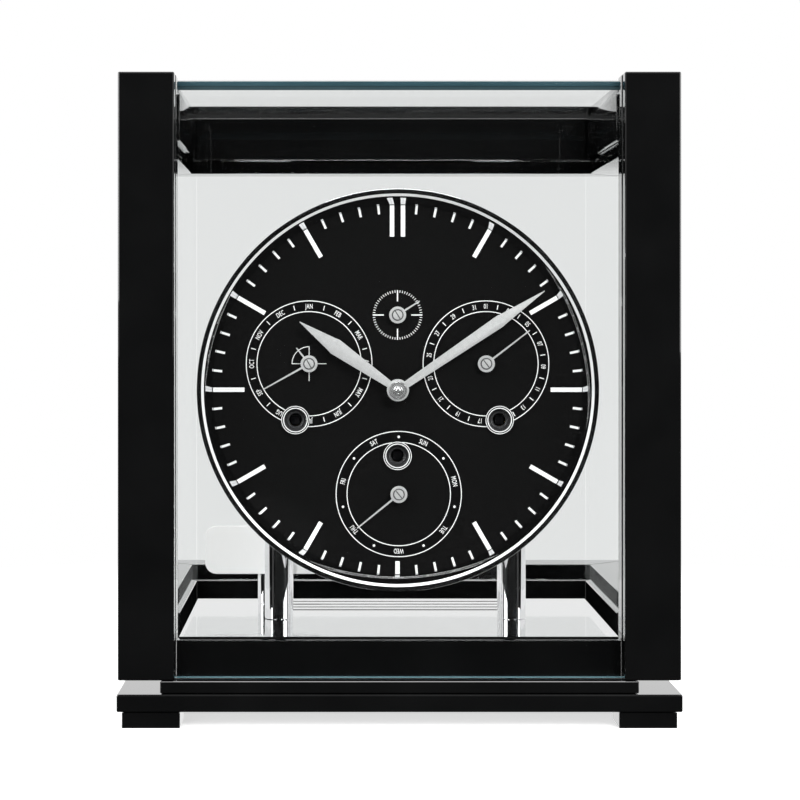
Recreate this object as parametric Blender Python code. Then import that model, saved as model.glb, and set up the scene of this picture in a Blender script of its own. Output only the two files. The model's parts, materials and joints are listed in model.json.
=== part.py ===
# Perpetual calendar table clock.
# Two black lacquered posts and a set of stepped rails hold panes of glass round a polished floor
# plate. Two round columns carry a key-wound movement behind a black dial with four small dials.
# Lengths are in metres, +Z is up, the front faces -Y and the origin is under the middle of the base.

import math

import bmesh
import bpy
from mathutils import Matrix, Vector

# Clearances and shared small sizes
fit_gap = 0.0003
cut_overrun = 0.002
edge_round = 0.0006
fine_round = 0.0003
glass_round = 0.0004

# Rounding of turned pieces, as numbers of sides
large_sides = 96
middle_sides = 40
small_sides = 20
tiny_sides = 12

# Base, feet and plinth
base_width = 0.2404
base_thickness = 0.0075
base_reach = 0.0017
foot_side = 0.0247
foot_height = 0.0067
foot_side_inset = 0.0022
foot_end_inset = 0.001
plinth_thickness = 0.0051

# Case body: posts, rails and glass. The body's width and depth are taken over the outside of the
# panes' rebates, and the rails reach out past them until they are flush with the posts
body_width = 0.2036
body_depth = 0.1568
post_width = 0.024
post_depth = 0.0235
post_crown = 0.0029
post_lap = 0.006
rail_thickness = 0.0068
lip_thickness = 0.0042
bottom_core_height = 0.026
bottom_lip_rise = 0.0075
ledge_height = 0.0157
ledge_reach = 0.005
top_core_height = 0.0204
top_lip_drop = 0.0064
top_glass_thickness = 0.004
top_rail_crown = 0.0019
pane_thickness = 0.002
front_pane_thickness = 0.004
front_pane_setback = 0.007
groove_depth = 0.0017
front_rail_thickness = 0.008

# Floor plate with its sound slots
floor_thickness = 0.0012
floor_side_gap = 0.0006
slot_count = 4
slot_width = 0.0025
slot_length = 0.104
slot_pitch = 0.011
slot_rear_margin = 0.0114

# Columns and name plate, set back from the posts' front
column_diameter = 0.013
column_spacing = 0.106
column_setback = 0.0737
column_stud_diameter = 0.006
plate_width = 0.0573
plate_height = 0.023
plate_thickness = 0.0015
plate_corner_radius = 0.0055
plate_side_gap = 0.00535
plate_floor_gap = 0.0146
plate_rear_gap = 0.0155
plate_rod_diameter = 0.007
plate_rod_lap = 0.012
plate_stud_diameter = 0.003

# Dial, with heights along the dial's axis counted from its printed face
dial_setback = 0.033
dial_side_clearance = 0.0079
dial_floor_clearance = 0.0181
dial_top_clearance = 0.0212
dial_thickness = 0.0016
bezel_wall = 0.003
bezel_front = 0.007
bezel_rear = 0.003
bezel_back_lap = 0.0014
bezel_edge_softness = 0.001
bezel_slope = 0.0007
flange_width = 0.0032
flange_height = 0.0054
flange_top_width = 0.0005
marker_length = 0.0137
marker_width = 0.0019
six_marker_length = 0.0056
marker_height = 0.0005
marker_sink = 0.0003
marker_flange_gap = 0.0003
twelve_marker_spread = 0.0048
dial_foot_diameter = 0.003
dial_foot_side_inset = 0.008
dial_foot_up = 0.030

# Small dials and winding holes, from the dial's centre
small_dial_across = 0.0388
small_dial_up = 0.0114
weekday_dial_down = 0.0458
seconds_dial_up = 0.0328
side_arbor_across = 0.0448
side_arbor_down = 0.0133
low_arbor_down = 0.029
grommet_flange_radius = 0.0062
grommet_step_radius = 0.0052
grommet_bore_radius = 0.0044
grommet_tube_radius = 0.0054
grommet_flange_height = 0.0010
grommet_step_drop = 0.0004
grommet_tube_end = 0.0035

# Hands
hour_hand_level = 0.006
minute_hand_level = 0.0082
hand_thickness = 0.0007
main_hub_radius = 0.0048
hour_hand_length = 0.0522
hour_hand_widest = 0.0332
hour_hand_half_width = 0.00356
minute_hand_tip_gap = 0.004
minute_hand_widest = 0.0535
minute_hand_half_width = 0.0027
main_hand_root_half = 0.00155
main_hand_tip_half = 0.00015
shoulder_share = 0.07
nut_base_radius = 0.0039
nut_base_height = 0.0008
nut_dome_radius = 0.0020
nut_dome_height = 0.0020
nut_bore_depth = 0.0014
small_hand_level = 0.0024
small_hand_thickness = 0.0004
small_hub_radius = 0.0037
small_hub_height = 0.0008
small_screw_radius = 0.0020
small_screw_height = 0.0010
small_screw_slot_width = 0.0005
small_screw_slot_depth = 0.0005
small_bore_depth = 0.0012
small_hand_root_half = 0.00042
small_hand_tip_half = 0.00026
month_hand_length = 0.0228
date_hand_length = 0.0240
weekday_hand_length = 0.0231
seconds_hand_length = 0.0114
leap_hand_length = 0.0089
leap_hand_level = 0.0015
leap_hub_radius = 0.0034

# Angles shown by the hands, clockwise from twelve
hour_hand_angle = math.radians(-55.2)
minute_hand_angle = math.radians(55.9)
seconds_hand_angle = math.radians(57.8)
month_hand_angle = math.radians(240.8)
leap_hand_angle = math.radians(-38.6)
date_hand_angle = math.radians(52.6)
weekday_hand_angle = math.radians(230.2)

# Movement, with depths counted back from the dial's printed face
front_plate_depth = 0.012
plate_metal = 0.002
back_plate_depth = 0.046
plate_half_width = 0.068
plate_top = 0.050
plate_bottom = 0.0567
plate_corner_cut = 0.018
pillar_radius = 0.0035
pillar_tenon_radius = 0.002
pillar_side_inset = 0.014
pillar_top_inset = 0.014
pillar_bottom_inset = 0.0127
calendar_plate_depth = 0.008
calendar_plate_metal = 0.0015
calendar_plate_radius = 0.056
calendar_leg_radius = 0.0025
calendar_leg_across = 0.030
calendar_leg_down = 0.040
calendar_leg_up = 0.036

# Shelf that the movement stands on
shelf_end_margin = 0.009
shelf_metal = 0.004
shelf_front_depth = 0.008
shelf_rear_depth = 0.070

# Barrels and winding arbors
barrel_radius = 0.018
barrel_front_depth = 0.020
barrel_length = 0.020
great_wheel_tip = 0.0205
great_wheel_root = 0.0190
great_wheel_metal = 0.0022
great_wheel_teeth = 60
winding_arbor_radius = 0.0025
winding_square_side = 0.0036
winding_square_end = 0.0025
winding_collar_radius = 0.004
ratchet_tip = 0.0085
ratchet_root = 0.0074
ratchet_metal = 0.0015
ratchet_teeth = 24

# Arbors of the going train and the calendar
centre_arbor_radius = 0.0016
centre_arbor_end = 0.0103
centre_wheel_depth = 0.0164
centre_wheel_metal = 0.0012
centre_wheel_tip = 0.0172
centre_wheel_root = 0.0162
centre_wheel_teeth = 64
small_arbor_radius = 0.001
small_arbor_end = 0.0033
seconds_wheel_depth = 0.025
seconds_wheel_metal = 0.001
seconds_wheel_tip = 0.013
seconds_wheel_root = 0.0121
seconds_wheel_teeth = 48
wheel_hub_radius = 0.003
wheel_hub_height = 0.002

# Motion work behind the dial
motion_arbor_offset = 0.0113
cannon_teeth = 12
minute_wheel_teeth = 36
minute_pinion_teeth = 10
hour_wheel_teeth = 40
tooth_tip_share = 0.35
tooth_root_share = 0.5
pitch_tooth_share = 0.36
crest_tooth_share = 0.20
base_tooth_share = 0.48
cannon_depth = 0.0055
cannon_length = 0.0019
minute_wheel_depth = 0.0060
minute_wheel_metal = 0.0010
hour_wheel_depth = 0.0039
hour_wheel_metal = 0.0010
hour_pipe_radius = 0.0030
hour_pipe_end = 0.0069
motion_arbor_radius = 0.0009
motion_arbor_end = 0.0030

# Calendar wheels
calendar_wheel_depth = 0.0068
calendar_wheel_metal = 0.0008
date_wheel_teeth = 31
date_wheel_tip = 0.013
date_wheel_root = 0.0115
weekday_wheel_teeth = 7
weekday_wheel_tip = 0.011
weekday_wheel_root = 0.007
month_wheel_teeth = 12
month_wheel_tip = 0.012
month_wheel_root = 0.009
month_arbor_radius = 0.0012
leap_pipe_radius = 0.0022
leap_pipe_rear = 0.0065
leap_cam_metal = 0.0008
leap_cam_points = 4
leap_cam_tip = 0.006
leap_cam_root = 0.0042

# Balance and its bridge, behind the back plate
balance_across = 0.030
balance_up = 0.030
balance_radius = 0.011
balance_rim_width = 0.0017
balance_rim_height = 0.0012
balance_depth = 0.053
balance_spoke_width = 0.0016
balance_spokes = 3
balance_hub_radius = 0.0020
balance_staff_radius = 0.0008
bridge_depth = 0.0562
bridge_metal = 0.0016
bridge_width = 0.008
bridge_overhang = 0.004
bridge_foot_start = 0.015
bridge_foot_length = 0.007

# Chime rods and the strike hammer
rod_count = 5
rod_pitch = 0.009
top_rod_down = 0.002
rod_radius = 0.0015
rod_depth = 0.062
rod_reach = 0.052
rod_block_side = 0.052
rod_block_width = 0.012
rod_block_thickness = 0.012
rod_block_top = 0.002
hammer_axis_across = 0.012
hammer_axis_up = 0.014
hammer_head_across = 0.036
hammer_head_radius = 0.0032
hammer_head_length = 0.0065
hammer_rest_gap = 0.001
hammer_arm_width = 0.004
hammer_arm_metal = 0.002
hammer_arm_depth = 0.059
hammer_hub_radius = 0.003
hammer_pin_radius = 0.0012

# Heights and places worked out from the sizes above
base_bottom = foot_height + fit_gap
base_top = base_bottom + base_thickness
plinth_bottom = base_top + fit_gap
body_bottom = plinth_bottom + plinth_thickness + fit_gap
rail_reach = post_width - post_lap
base_depth = base_reach + body_depth + rail_reach + base_reach
front_y = base_reach - base_depth / 2
rear_y = front_y + body_depth
half_body = body_width / 2
half_spacing = half_body - post_lap
front_edge_y = front_y + front_pane_setback + front_pane_thickness + fit_gap
post_rear_y = front_y + post_depth
ledge_top = body_bottom + ledge_height
floor_bottom = ledge_top + fit_gap
floor_top = floor_bottom + floor_thickness
pane_outer_inset = lip_thickness + fit_gap
pane_inner_inset = pane_outer_inset + pane_thickness
bezel_radius = half_body - pane_inner_inset - dial_side_clearance
dial_radius = bezel_radius - bezel_wall
flange_inner_radius = dial_radius - flange_width
marker_outer_radius = flange_inner_radius - marker_flange_gap
minute_hand_length = flange_inner_radius - minute_hand_tip_gap
dial_centre_height = floor_top + dial_floor_clearance + bezel_radius
top_core_bottom = dial_centre_height + bezel_radius + dial_top_clearance
top_core_top = top_core_bottom + top_core_height
top_glass_bottom = top_core_top + fit_gap
top_glass_top = top_glass_bottom + top_glass_thickness
post_height = top_glass_top + post_crown - body_bottom
plate_bottom_height = floor_top + plate_floor_gap
floor_rear_edge = rear_y - rail_thickness - floor_side_gap
plate_side_offset = half_body - rail_thickness - plate_side_gap - plate_width / 2
plate_rod_rear = rear_y - rail_thickness - plate_rear_gap
plate_rod_y = plate_rod_rear - plate_rod_diameter / 2
plate_rear_y = plate_rod_rear - plate_rod_diameter - fit_gap
shelf_half_width = column_spacing / 2 + shelf_end_margin
back_plate_rear = back_plate_depth + plate_metal
front_plate_rear = front_plate_depth + plate_metal
calendar_plate_rear = calendar_plate_depth + calendar_plate_metal
shelf_top = -plate_bottom - fit_gap
shelf_bottom = shelf_top - shelf_metal
shelf_underside_height = dial_centre_height + shelf_bottom
arbor_rear = back_plate_rear - fit_gap
small_arbor_rear = calendar_plate_rear - fit_gap
motion_centre_distance = math.hypot(motion_arbor_offset, motion_arbor_offset)

finishes = {
    "black lacquer": ((0.012, 0.012, 0.014, 1), 0.12, 0.0),
    "black satin": ((0.016, 0.016, 0.017, 1), 0.45, 0.0),
    "clear glass": ((0.80, 0.90, 0.90, 0.35), 0.03, 0.0),
    "polished steel": ((0.70, 0.70, 0.72, 1), 0.08, 1.0),
    "brushed steel": ((0.62, 0.62, 0.64, 1), 0.30, 1.0),
    "brass": ((0.72, 0.53, 0.22, 1), 0.25, 1.0),
    "dark steel": ((0.20, 0.20, 0.22, 1), 0.35, 1.0),
    "black rubber": ((0.02, 0.02, 0.02, 1), 0.8, 0.0),
}


def clear_scene():
    for item in list(bpy.data.objects):
        bpy.data.objects.remove(item, do_unlink=True)


def make_material(name, finish):
    colour, roughness, metallic = finishes[finish]
    material = bpy.data.materials.new(name)
    material.use_nodes = True
    shader = material.node_tree.nodes["Principled BSDF"]
    shader.inputs["Base Color"].default_value = colour
    shader.inputs["Roughness"].default_value = roughness
    shader.inputs["Metallic"].default_value = metallic
    shader.inputs["Alpha"].default_value = colour[3]
    return material


def make_empty(name, location, rotation=(0, 0, 0), parent=None):
    empty = bpy.data.objects.new(name, None)
    bpy.context.scene.collection.objects.link(empty)
    empty.location = location
    empty.rotation_euler = rotation
    empty.parent = parent
    return empty


def make_object(name, bm, location, parent, rotation=(0, 0, 0)):
    bmesh.ops.recalc_face_normals(bm, faces=bm.faces)
    mesh = bpy.data.meshes.new(name)
    bm.to_mesh(mesh)
    bm.free()
    item = bpy.data.objects.new(name, mesh)
    bpy.context.scene.collection.objects.link(item)
    item.location = location
    item.rotation_euler = rotation
    item.parent = parent
    return item


def add_boolean(item, tool_bm, operation):
    # The tool is a hidden object in the same place as the piece that it shapes
    tool = make_object(item.name + "_" + operation.lower(), tool_bm, item.location, item.parent, item.rotation_euler)
    tool.display_type = "WIRE"
    tool.hide_render = True
    modifier = item.modifiers.new(operation.title(), "BOOLEAN")
    modifier.operation = operation
    modifier.solver = "EXACT"
    modifier.object = tool


def make_piece(name, bm, finish, location=(0, 0, 0), parent=None, rotation=(0, 0, 0),
               add=None, cut=None, round_width=0, round_steps=1, smooth=False):
    item = make_object(name, bm, location, parent, rotation)
    item.data.materials.append(make_material(name, finish))
    if round_width:
        bevel = item.modifiers.new("Round edges", "BEVEL")
        bevel.width = round_width
        bevel.segments = round_steps
        bevel.limit_method = "ANGLE"
    if add:
        add_boolean(item, add, "UNION")
    if cut:
        add_boolean(item, cut, "DIFFERENCE")
    if smooth:
        item.data.shade_smooth()
        item.data.set_sharp_from_angle(angle=math.radians(35))
    return item


def add_box(bm, low, high):
    size = [high[axis] - low[axis] for axis in range(3)]
    middle = [(high[axis] + low[axis]) / 2 for axis in range(3)]
    matrix = Matrix.Translation(middle) @ Matrix.Diagonal((*size, 1))
    bmesh.ops.create_cube(bm, size=1, matrix=matrix)
    return bm


def add_rod(bm, radius, start, end, sides, centre=(0, 0)):
    # A round bar along Z
    matrix = Matrix.Translation((centre[0], centre[1], (start + end) / 2))
    bmesh.ops.create_cone(bm, cap_ends=True, cap_tris=False, segments=sides, radius1=radius,
                          radius2=radius, depth=abs(end - start), matrix=matrix)
    return bm


def add_prism(bm, outline, start, end):
    # A flat outline in XY, drawn out along Z
    verts = [bm.verts.new((x, y, start)) for x, y in outline]
    face = bm.faces.new(verts)
    grown = bmesh.ops.extrude_face_region(bm, geom=[face])
    moved = [element for element in grown["geom"] if isinstance(element, bmesh.types.BMVert)]
    bmesh.ops.translate(bm, verts=moved, vec=(0, 0, end - start))
    return bm


def add_turned(bm, profile, sides, closed=True):
    # A section of (radius, height) points, turned about Z
    verts = [bm.verts.new((radius, 0, height)) for radius, height in profile]
    pairs = list(zip(verts, verts[1:]))
    if closed:
        pairs.append((verts[-1], verts[0]))
    edges = [bm.edges.new(pair) for pair in pairs]
    bmesh.ops.spin(bm, geom=verts + edges, cent=(0, 0, 0), axis=(0, 0, 1), angle=math.tau,
                   steps=sides, use_merge=True)
    bmesh.ops.remove_doubles(bm, verts=bm.verts, dist=fit_gap / 100)
    return bm


def gear_outline(teeth, tip_radius, root_radius, turn=0):
    # Four points a tooth: a narrow crest and a wider base
    pitch = math.tau / teeth
    points = []
    for tooth in range(teeth):
        middle = turn + tooth * pitch
        for radius, share in ((root_radius, -base_tooth_share), (tip_radius, -crest_tooth_share),
                              (tip_radius, crest_tooth_share), (root_radius, base_tooth_share)):
            angle = middle + share * pitch / 2
            points.append((radius * math.cos(angle), radius * math.sin(angle)))
    return points


def star_outline(points_count, tip_radius, root_radius, turn=0):
    # One pointed tooth a step, as on a calendar star wheel
    step = math.tau / points_count
    points = []
    for index in range(points_count):
        tip = turn + index * step
        points.append((tip_radius * math.cos(tip), tip_radius * math.sin(tip)))
        points.append((root_radius * math.cos(tip + step / 2), root_radius * math.sin(tip + step / 2)))
    return points


def meshing_radii(module, teeth):
    pitch_radius = module * teeth / 2
    return pitch_radius + tooth_tip_share * module, pitch_radius - tooth_root_share * module * 2


def slot_outline(length, width, centre, sides):
    # A straight slot with round ends, along X
    radius = width / 2
    straight = length / 2 - radius
    points = []
    for side in (1, -1):
        for step in range(sides // 2 + 1):
            angle = side * math.pi / 2 - math.pi * step / (sides // 2)
            points.append((centre[0] + side * straight + radius * math.cos(angle),
                           centre[1] + radius * math.sin(angle)))
    return points


def rounded_outline(width, height, radius, sides):
    quarter = sides // 4
    points = []
    for corner in range(4):
        x_sign = 1 if corner in (0, 3) else -1
        y_sign = 1 if corner in (0, 1) else -1
        for step in range(quarter + 1):
            angle = math.pi / 2 * (corner + step / quarter)
            points.append((x_sign * (width / 2 - radius) + radius * math.cos(angle),
                           y_sign * (height / 2 - radius) + radius * math.sin(angle)))
    return points


def add_rail(bm, section, start, end, start_mitre, end_mitre):
    # The rail runs along X with its outer face on y = 0; a mitred end draws back with the inset
    verts = [bm.verts.new((start + start_mitre * inset, -inset, height)) for inset, height in section]
    face = bm.faces.new(verts)
    grown = bmesh.ops.extrude_face_region(bm, geom=[face])
    for element in grown["geom"]:
        if isinstance(element, bmesh.types.BMVert):
            element.co.x = end + end_mitre * element.co.y
    return bm


def make_base():
    half_width = base_width / 2
    half_depth = base_depth / 2
    bm = add_box(bmesh.new(), (-half_width, -half_depth, base_bottom), (half_width, half_depth, base_top))
    make_piece("base_board", bm, "black lacquer", round_width=edge_round, round_steps=2)
    foot_x = half_width - foot_side_inset - foot_side / 2
    foot_y = half_depth - foot_end_inset - foot_side / 2
    for end_name, y_sign in (("front", -1), ("rear", 1)):
        for side_name, x_sign in (("left", -1), ("right", 1)):
            half_side = foot_side / 2
            bm = add_box(bmesh.new(), (-half_side, -half_side, 0), (half_side, half_side, foot_height))
            make_piece("foot_" + end_name + "_" + side_name, bm, "black lacquer",
                       (x_sign * foot_x, y_sign * foot_y, 0), round_width=fine_round)
    bm = add_box(bmesh.new(), (-half_body, front_y, plinth_bottom),
                 (half_body, rear_y, plinth_bottom + plinth_thickness))
    make_piece("plinth_board", bm, "black lacquer", round_width=fine_round)


def make_posts():
    groove_front = front_pane_setback - fit_gap
    groove_rear = front_pane_setback + front_pane_thickness + fit_gap
    groove_floor = post_width - groove_depth
    outline = [(0, 0), (post_width, 0), (post_width, groove_front), (groove_floor, groove_front),
               (groove_floor, groove_rear), (post_width, groove_rear), (post_width, post_depth),
               (0, post_depth)]
    for side_name, side in (("left", 1), ("right", -1)):
        placed = [(side * x, y) for x, y in outline]
        bm = add_prism(bmesh.new(), placed, 0, post_height)
        make_piece("corner_post_" + side_name, bm, "black lacquer",
                   (-side * (half_spacing + post_width), front_y, body_bottom),
                   round_width=edge_round, round_steps=2)


def make_bottom_rails():
    core_top = body_bottom + bottom_core_height
    lip_top = core_top + bottom_lip_rise
    ledge_inset = rail_thickness + ledge_reach
    section = [(-rail_reach, body_bottom), (-rail_reach, lip_top), (lip_thickness, lip_top),
               (lip_thickness, core_top),
               (rail_thickness, core_top), (rail_thickness, ledge_top), (ledge_inset, ledge_top),
               (ledge_inset, body_bottom)]
    make_rail_set("bottom_rail", section)
    rail_half = half_spacing - fit_gap
    bm = add_box(bmesh.new(), (-rail_half, front_edge_y, body_bottom),
                 (rail_half, front_edge_y + front_rail_thickness, ledge_top))
    make_piece("front_bottom_rail", bm, "black lacquer", round_width=fine_round)


def make_rail_set(name, section):
    # Square against the posts in front, mitred at the rear corners
    front_end = post_rear_y + fit_gap
    run = rear_y - front_end
    mitre_gap = fit_gap
    bm = add_rail(bmesh.new(), section, -half_body + mitre_gap, half_body - mitre_gap, 1, 1)
    make_piece("rear_" + name, bm, "black lacquer", (0, rear_y, 0), round_width=fine_round)
    bm = add_rail(bmesh.new(), section, 0, run, 0, 1)
    make_piece("left_" + name, bm, "black lacquer", (-half_body, front_end, 0),
               rotation=(0, 0, math.pi / 2), round_width=fine_round)
    bm = add_rail(bmesh.new(), section, -run, 0, 1, 0)
    make_piece("right_" + name, bm, "black lacquer", (half_body, front_end, 0),
               rotation=(0, 0, -math.pi / 2), round_width=fine_round)


def make_top_rails():
    lip_bottom = top_core_bottom - top_lip_drop
    rail_top = top_glass_top + top_rail_crown
    section = [(-rail_reach, lip_bottom), (-rail_reach, rail_top), (lip_thickness, rail_top),
               (lip_thickness, top_core_top), (rail_thickness, top_core_top),
               (rail_thickness, top_core_bottom), (lip_thickness, top_core_bottom),
               (lip_thickness, lip_bottom)]
    make_rail_set("top_rail", section)


def make_glass():
    pane_bottom = body_bottom + bottom_core_height + fit_gap
    pane_top = top_core_bottom - fit_gap
    side_outer = half_body - pane_outer_inset
    side_inner = half_body - pane_inner_inset
    rear_outer = rear_y - pane_outer_inset
    rear_inner = rear_y - pane_inner_inset
    side_front = post_rear_y + fit_gap
    for side_name, side in (("left", -1), ("right", 1)):
        low_x, high_x = sorted((side * side_inner, side * side_outer))
        bm = add_box(bmesh.new(), (low_x, side_front, pane_bottom), (high_x, rear_outer, pane_top))
        make_piece(side_name + "_glass", bm, "clear glass", round_width=fine_round)
    rear_half = side_inner - fit_gap
    bm = add_box(bmesh.new(), (-rear_half, rear_inner, pane_bottom), (rear_half, rear_outer, pane_top))
    make_piece("rear_glass", bm, "clear glass", round_width=fine_round)
    front_half = half_spacing + groove_depth - fit_gap
    front_face = front_y + front_pane_setback
    bm = add_box(bmesh.new(), (-front_half, front_face, body_bottom),
                 (front_half, front_face + front_pane_thickness, top_glass_top))
    make_piece("front_glass", bm, "clear glass", round_width=glass_round, round_steps=2)
    narrow = half_spacing - fit_gap
    outline = [(-narrow, front_edge_y), (narrow, front_edge_y), (narrow, side_front),
               (side_outer, side_front), (side_outer, rear_outer), (-side_outer, rear_outer),
               (-side_outer, side_front), (-narrow, side_front)]
    bm = add_prism(bmesh.new(), outline, top_glass_bottom, top_glass_top)
    make_piece("top_glass", bm, "clear glass", round_width=glass_round, round_steps=2)


def make_floor_plate():
    half_width = half_body - rail_thickness - floor_side_gap
    bm = add_box(bmesh.new(), (-half_width, front_edge_y, floor_bottom),
                 (half_width, floor_rear_edge, floor_top))
    below = floor_bottom - cut_overrun
    above = floor_top + cut_overrun
    cut = bmesh.new()
    for index in range(slot_count):
        centre = (0, floor_rear_edge - slot_rear_margin - index * slot_pitch)
        add_prism(cut, slot_outline(slot_length, slot_width, centre, tiny_sides), below, above)
    hole = column_stud_diameter / 2 + fit_gap
    for side in (-1, 1):
        add_rod(cut, hole, below, above, small_sides, (side * column_spacing / 2, front_y + column_setback))
    rod_hole = plate_stud_diameter / 2 + fit_gap
    add_rod(cut, rod_hole, below, above, tiny_sides, (-plate_side_offset, plate_rod_y))
    make_piece("floor_plate", bm, "polished steel", cut=cut)


def make_columns():
    radius = column_diameter / 2
    stud = column_stud_diameter / 2
    foot = floor_top + fit_gap
    shoulder = shelf_underside_height - fit_gap
    tenon_end = shelf_underside_height + shelf_metal - fit_gap
    profile = [(0, body_bottom), (stud, body_bottom), (stud, foot), (radius - fine_round, foot),
               (radius, foot + fine_round), (radius, shoulder - fine_round),
               (radius - fine_round, shoulder), (stud, shoulder), (stud, tenon_end), (0, tenon_end)]
    for side_name, side in (("left", -1), ("right", 1)):
        bm = add_turned(bmesh.new(), profile, middle_sides, closed=False)
        make_piece("support_column_" + side_name, bm, "polished steel",
                   (side * column_spacing / 2, front_y + column_setback, 0), smooth=True)


def make_name_plate():
    # The plate is left bare
    outline = rounded_outline(plate_width, plate_height, plate_corner_radius, small_sides)
    bm = add_prism(bmesh.new(), outline, 0, plate_thickness)
    centre_height = plate_bottom_height + plate_height / 2
    make_piece("name_plate", bm, "polished steel",
               (-plate_side_offset, plate_rear_y, centre_height),
               rotation=(math.pi / 2, 0, 0), round_width=fine_round)
    radius = plate_rod_diameter / 2
    stud = plate_stud_diameter / 2
    foot = floor_top + fit_gap
    top = plate_bottom_height + plate_rod_lap
    profile = [(0, body_bottom), (stud, body_bottom), (stud, foot), (radius, foot),
               (radius, top - fine_round), (radius - fine_round, top), (0, top)]
    bm = add_turned(bmesh.new(), profile, small_sides, closed=False)
    make_piece("name_plate_rod", bm, "polished steel", (-plate_side_offset, plate_rod_y, 0), smooth=True)


def dial_holes():
    # Centres and arbor radii of every arbor that comes through the dial
    return [((0, 0), hour_pipe_radius), ((small_dial_across, small_dial_up), small_arbor_radius),
            ((-small_dial_across, small_dial_up), leap_pipe_radius),
            ((0, -weekday_dial_down), small_arbor_radius), ((0, seconds_dial_up), small_arbor_radius)]


def winding_places():
    return (("left", (-side_arbor_across, -side_arbor_down)), ("lower", (0, -low_arbor_down)),
            ("right", (side_arbor_across, -side_arbor_down)))


def foot_places():
    across = plate_half_width - dial_foot_side_inset
    return [(x_sign * across, y_sign * dial_foot_up) for x_sign in (-1, 1) for y_sign in (-1, 1)]


def add_marker(bm, angle, offset, length):
    # A raised bar that points at the centre, clockwise from twelve
    made = bmesh.new()
    add_box(made, (offset - marker_width / 2, marker_outer_radius - length, -marker_sink),
            (offset + marker_width / 2, marker_outer_radius, marker_height))
    bmesh.ops.rotate(made, verts=made.verts, cent=(0, 0, 0), matrix=Matrix.Rotation(-angle, 3, "Z"))
    mesh = bpy.data.meshes.new("marker")
    made.to_mesh(mesh)
    made.free()
    bm.from_mesh(mesh)
    bpy.data.meshes.remove(mesh)


def make_dial(frame):
    bm = add_rod(bmesh.new(), dial_radius, -dial_thickness, 0, large_sides)
    foot_end = -(front_plate_rear - fit_gap)
    add = bmesh.new()
    for place in foot_places():
        add_rod(add, dial_foot_diameter / 2, foot_end, -dial_thickness / 2, tiny_sides, place)
    for hour in range(12):
        angle = math.tau * hour / 12
        if hour == 0:
            add_marker(add, angle, -twelve_marker_spread / 2, marker_length)
            add_marker(add, angle, twelve_marker_spread / 2, marker_length)
        elif hour == 6:
            add_marker(add, angle, 0, six_marker_length)
        else:
            add_marker(add, angle, 0, marker_length)
    cut = bmesh.new()
    for place, radius in dial_holes():
        add_rod(cut, radius + fit_gap, -dial_thickness - cut_overrun, cut_overrun, small_sides, place)
    for _, place in winding_places():
        add_rod(cut, grommet_tube_radius + fit_gap, -dial_thickness - cut_overrun, cut_overrun,
                small_sides, place)
    make_piece("dial_plate", bm, "black satin", parent=frame, add=add, cut=cut)

    inner = dial_radius + fit_gap
    lap_front = -dial_thickness - fit_gap
    profile = [(inner, bezel_front - bezel_edge_softness), (inner + bezel_slope, bezel_front - fine_round),
               (inner + bezel_edge_softness + bezel_slope, bezel_front),
               (bezel_radius - fine_round, bezel_front - bezel_edge_softness + fine_round),
               (bezel_radius, bezel_front - bezel_edge_softness * 2), (bezel_radius, -bezel_rear),
               (inner - bezel_back_lap, -bezel_rear), (inner - bezel_back_lap, lap_front),
               (inner, lap_front)]
    make_piece("bezel_ring", add_turned(bmesh.new(), profile, large_sides), "polished steel",
               parent=frame, smooth=True)

    top = fit_gap + flange_height
    profile = [(flange_inner_radius, fit_gap), (dial_radius, fit_gap), (dial_radius, top),
               (dial_radius - flange_top_width, top)]
    make_piece("dial_flange", add_turned(bmesh.new(), profile, large_sides), "black satin",
               parent=frame, smooth=True)


def make_grommets(frame):
    top = fit_gap + grommet_flange_height
    step = top - grommet_step_drop
    profile = [(grommet_bore_radius, -grommet_tube_end), (grommet_tube_radius, -grommet_tube_end),
               (grommet_tube_radius, fit_gap), (grommet_flange_radius, fit_gap),
               (grommet_flange_radius, top), (grommet_step_radius, top), (grommet_step_radius, step),
               (grommet_bore_radius, step)]
    for name, (x, y) in winding_places():
        bm = add_turned(bmesh.new(), profile, middle_sides - tiny_sides)
        make_piece("winding_grommet_" + name, bm, "polished steel", (x, y, 0), frame, smooth=True)


def main_hand_outline(length, widest, half_width):
    # A lance on a round hub, pointing along +Y
    root = math.sqrt(main_hub_radius ** 2 - main_hand_root_half ** 2)
    below = widest * (1 - shoulder_share)
    below_half = half_width - (half_width - main_hand_root_half) * shoulder_share * 1.15
    beyond = widest + (length - widest) * shoulder_share * 1.6
    beyond_half = half_width * (1 - shoulder_share * 2)
    right = [(main_hand_root_half, root), (below_half, below), (half_width, widest),
             (beyond_half, beyond), (main_hand_tip_half, length)]
    left = [(-x, y) for x, y in reversed(right)]
    hub_start = math.atan2(root, -main_hand_root_half)
    hub_sweep = math.tau - 2 * math.asin(main_hand_root_half / main_hub_radius)
    arc = []
    for step in range(1, middle_sides):
        angle = hub_start + hub_sweep * step / middle_sides
        arc.append((main_hub_radius * math.cos(angle), main_hub_radius * math.sin(angle)))
    return right + left + arc


def small_hand_outline(hub_radius, length):
    root = math.sqrt(hub_radius ** 2 - small_hand_root_half ** 2)
    blade = [(small_hand_root_half, root), (small_hand_tip_half, length),
             (-small_hand_tip_half, length), (-small_hand_root_half, root)]
    start = math.atan2(root, -small_hand_root_half)
    sweep = math.tau - 2 * math.asin(small_hand_root_half / hub_radius)
    arc = []
    for step in range(1, small_sides):
        angle = start + sweep * step / small_sides
        arc.append((hub_radius * math.cos(angle), hub_radius * math.sin(angle)))
    return blade + arc


def make_axis(name, frame, place, angle):
    return make_empty(name, (place[0], place[1], 0), (0, 0, -angle), frame)


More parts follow.
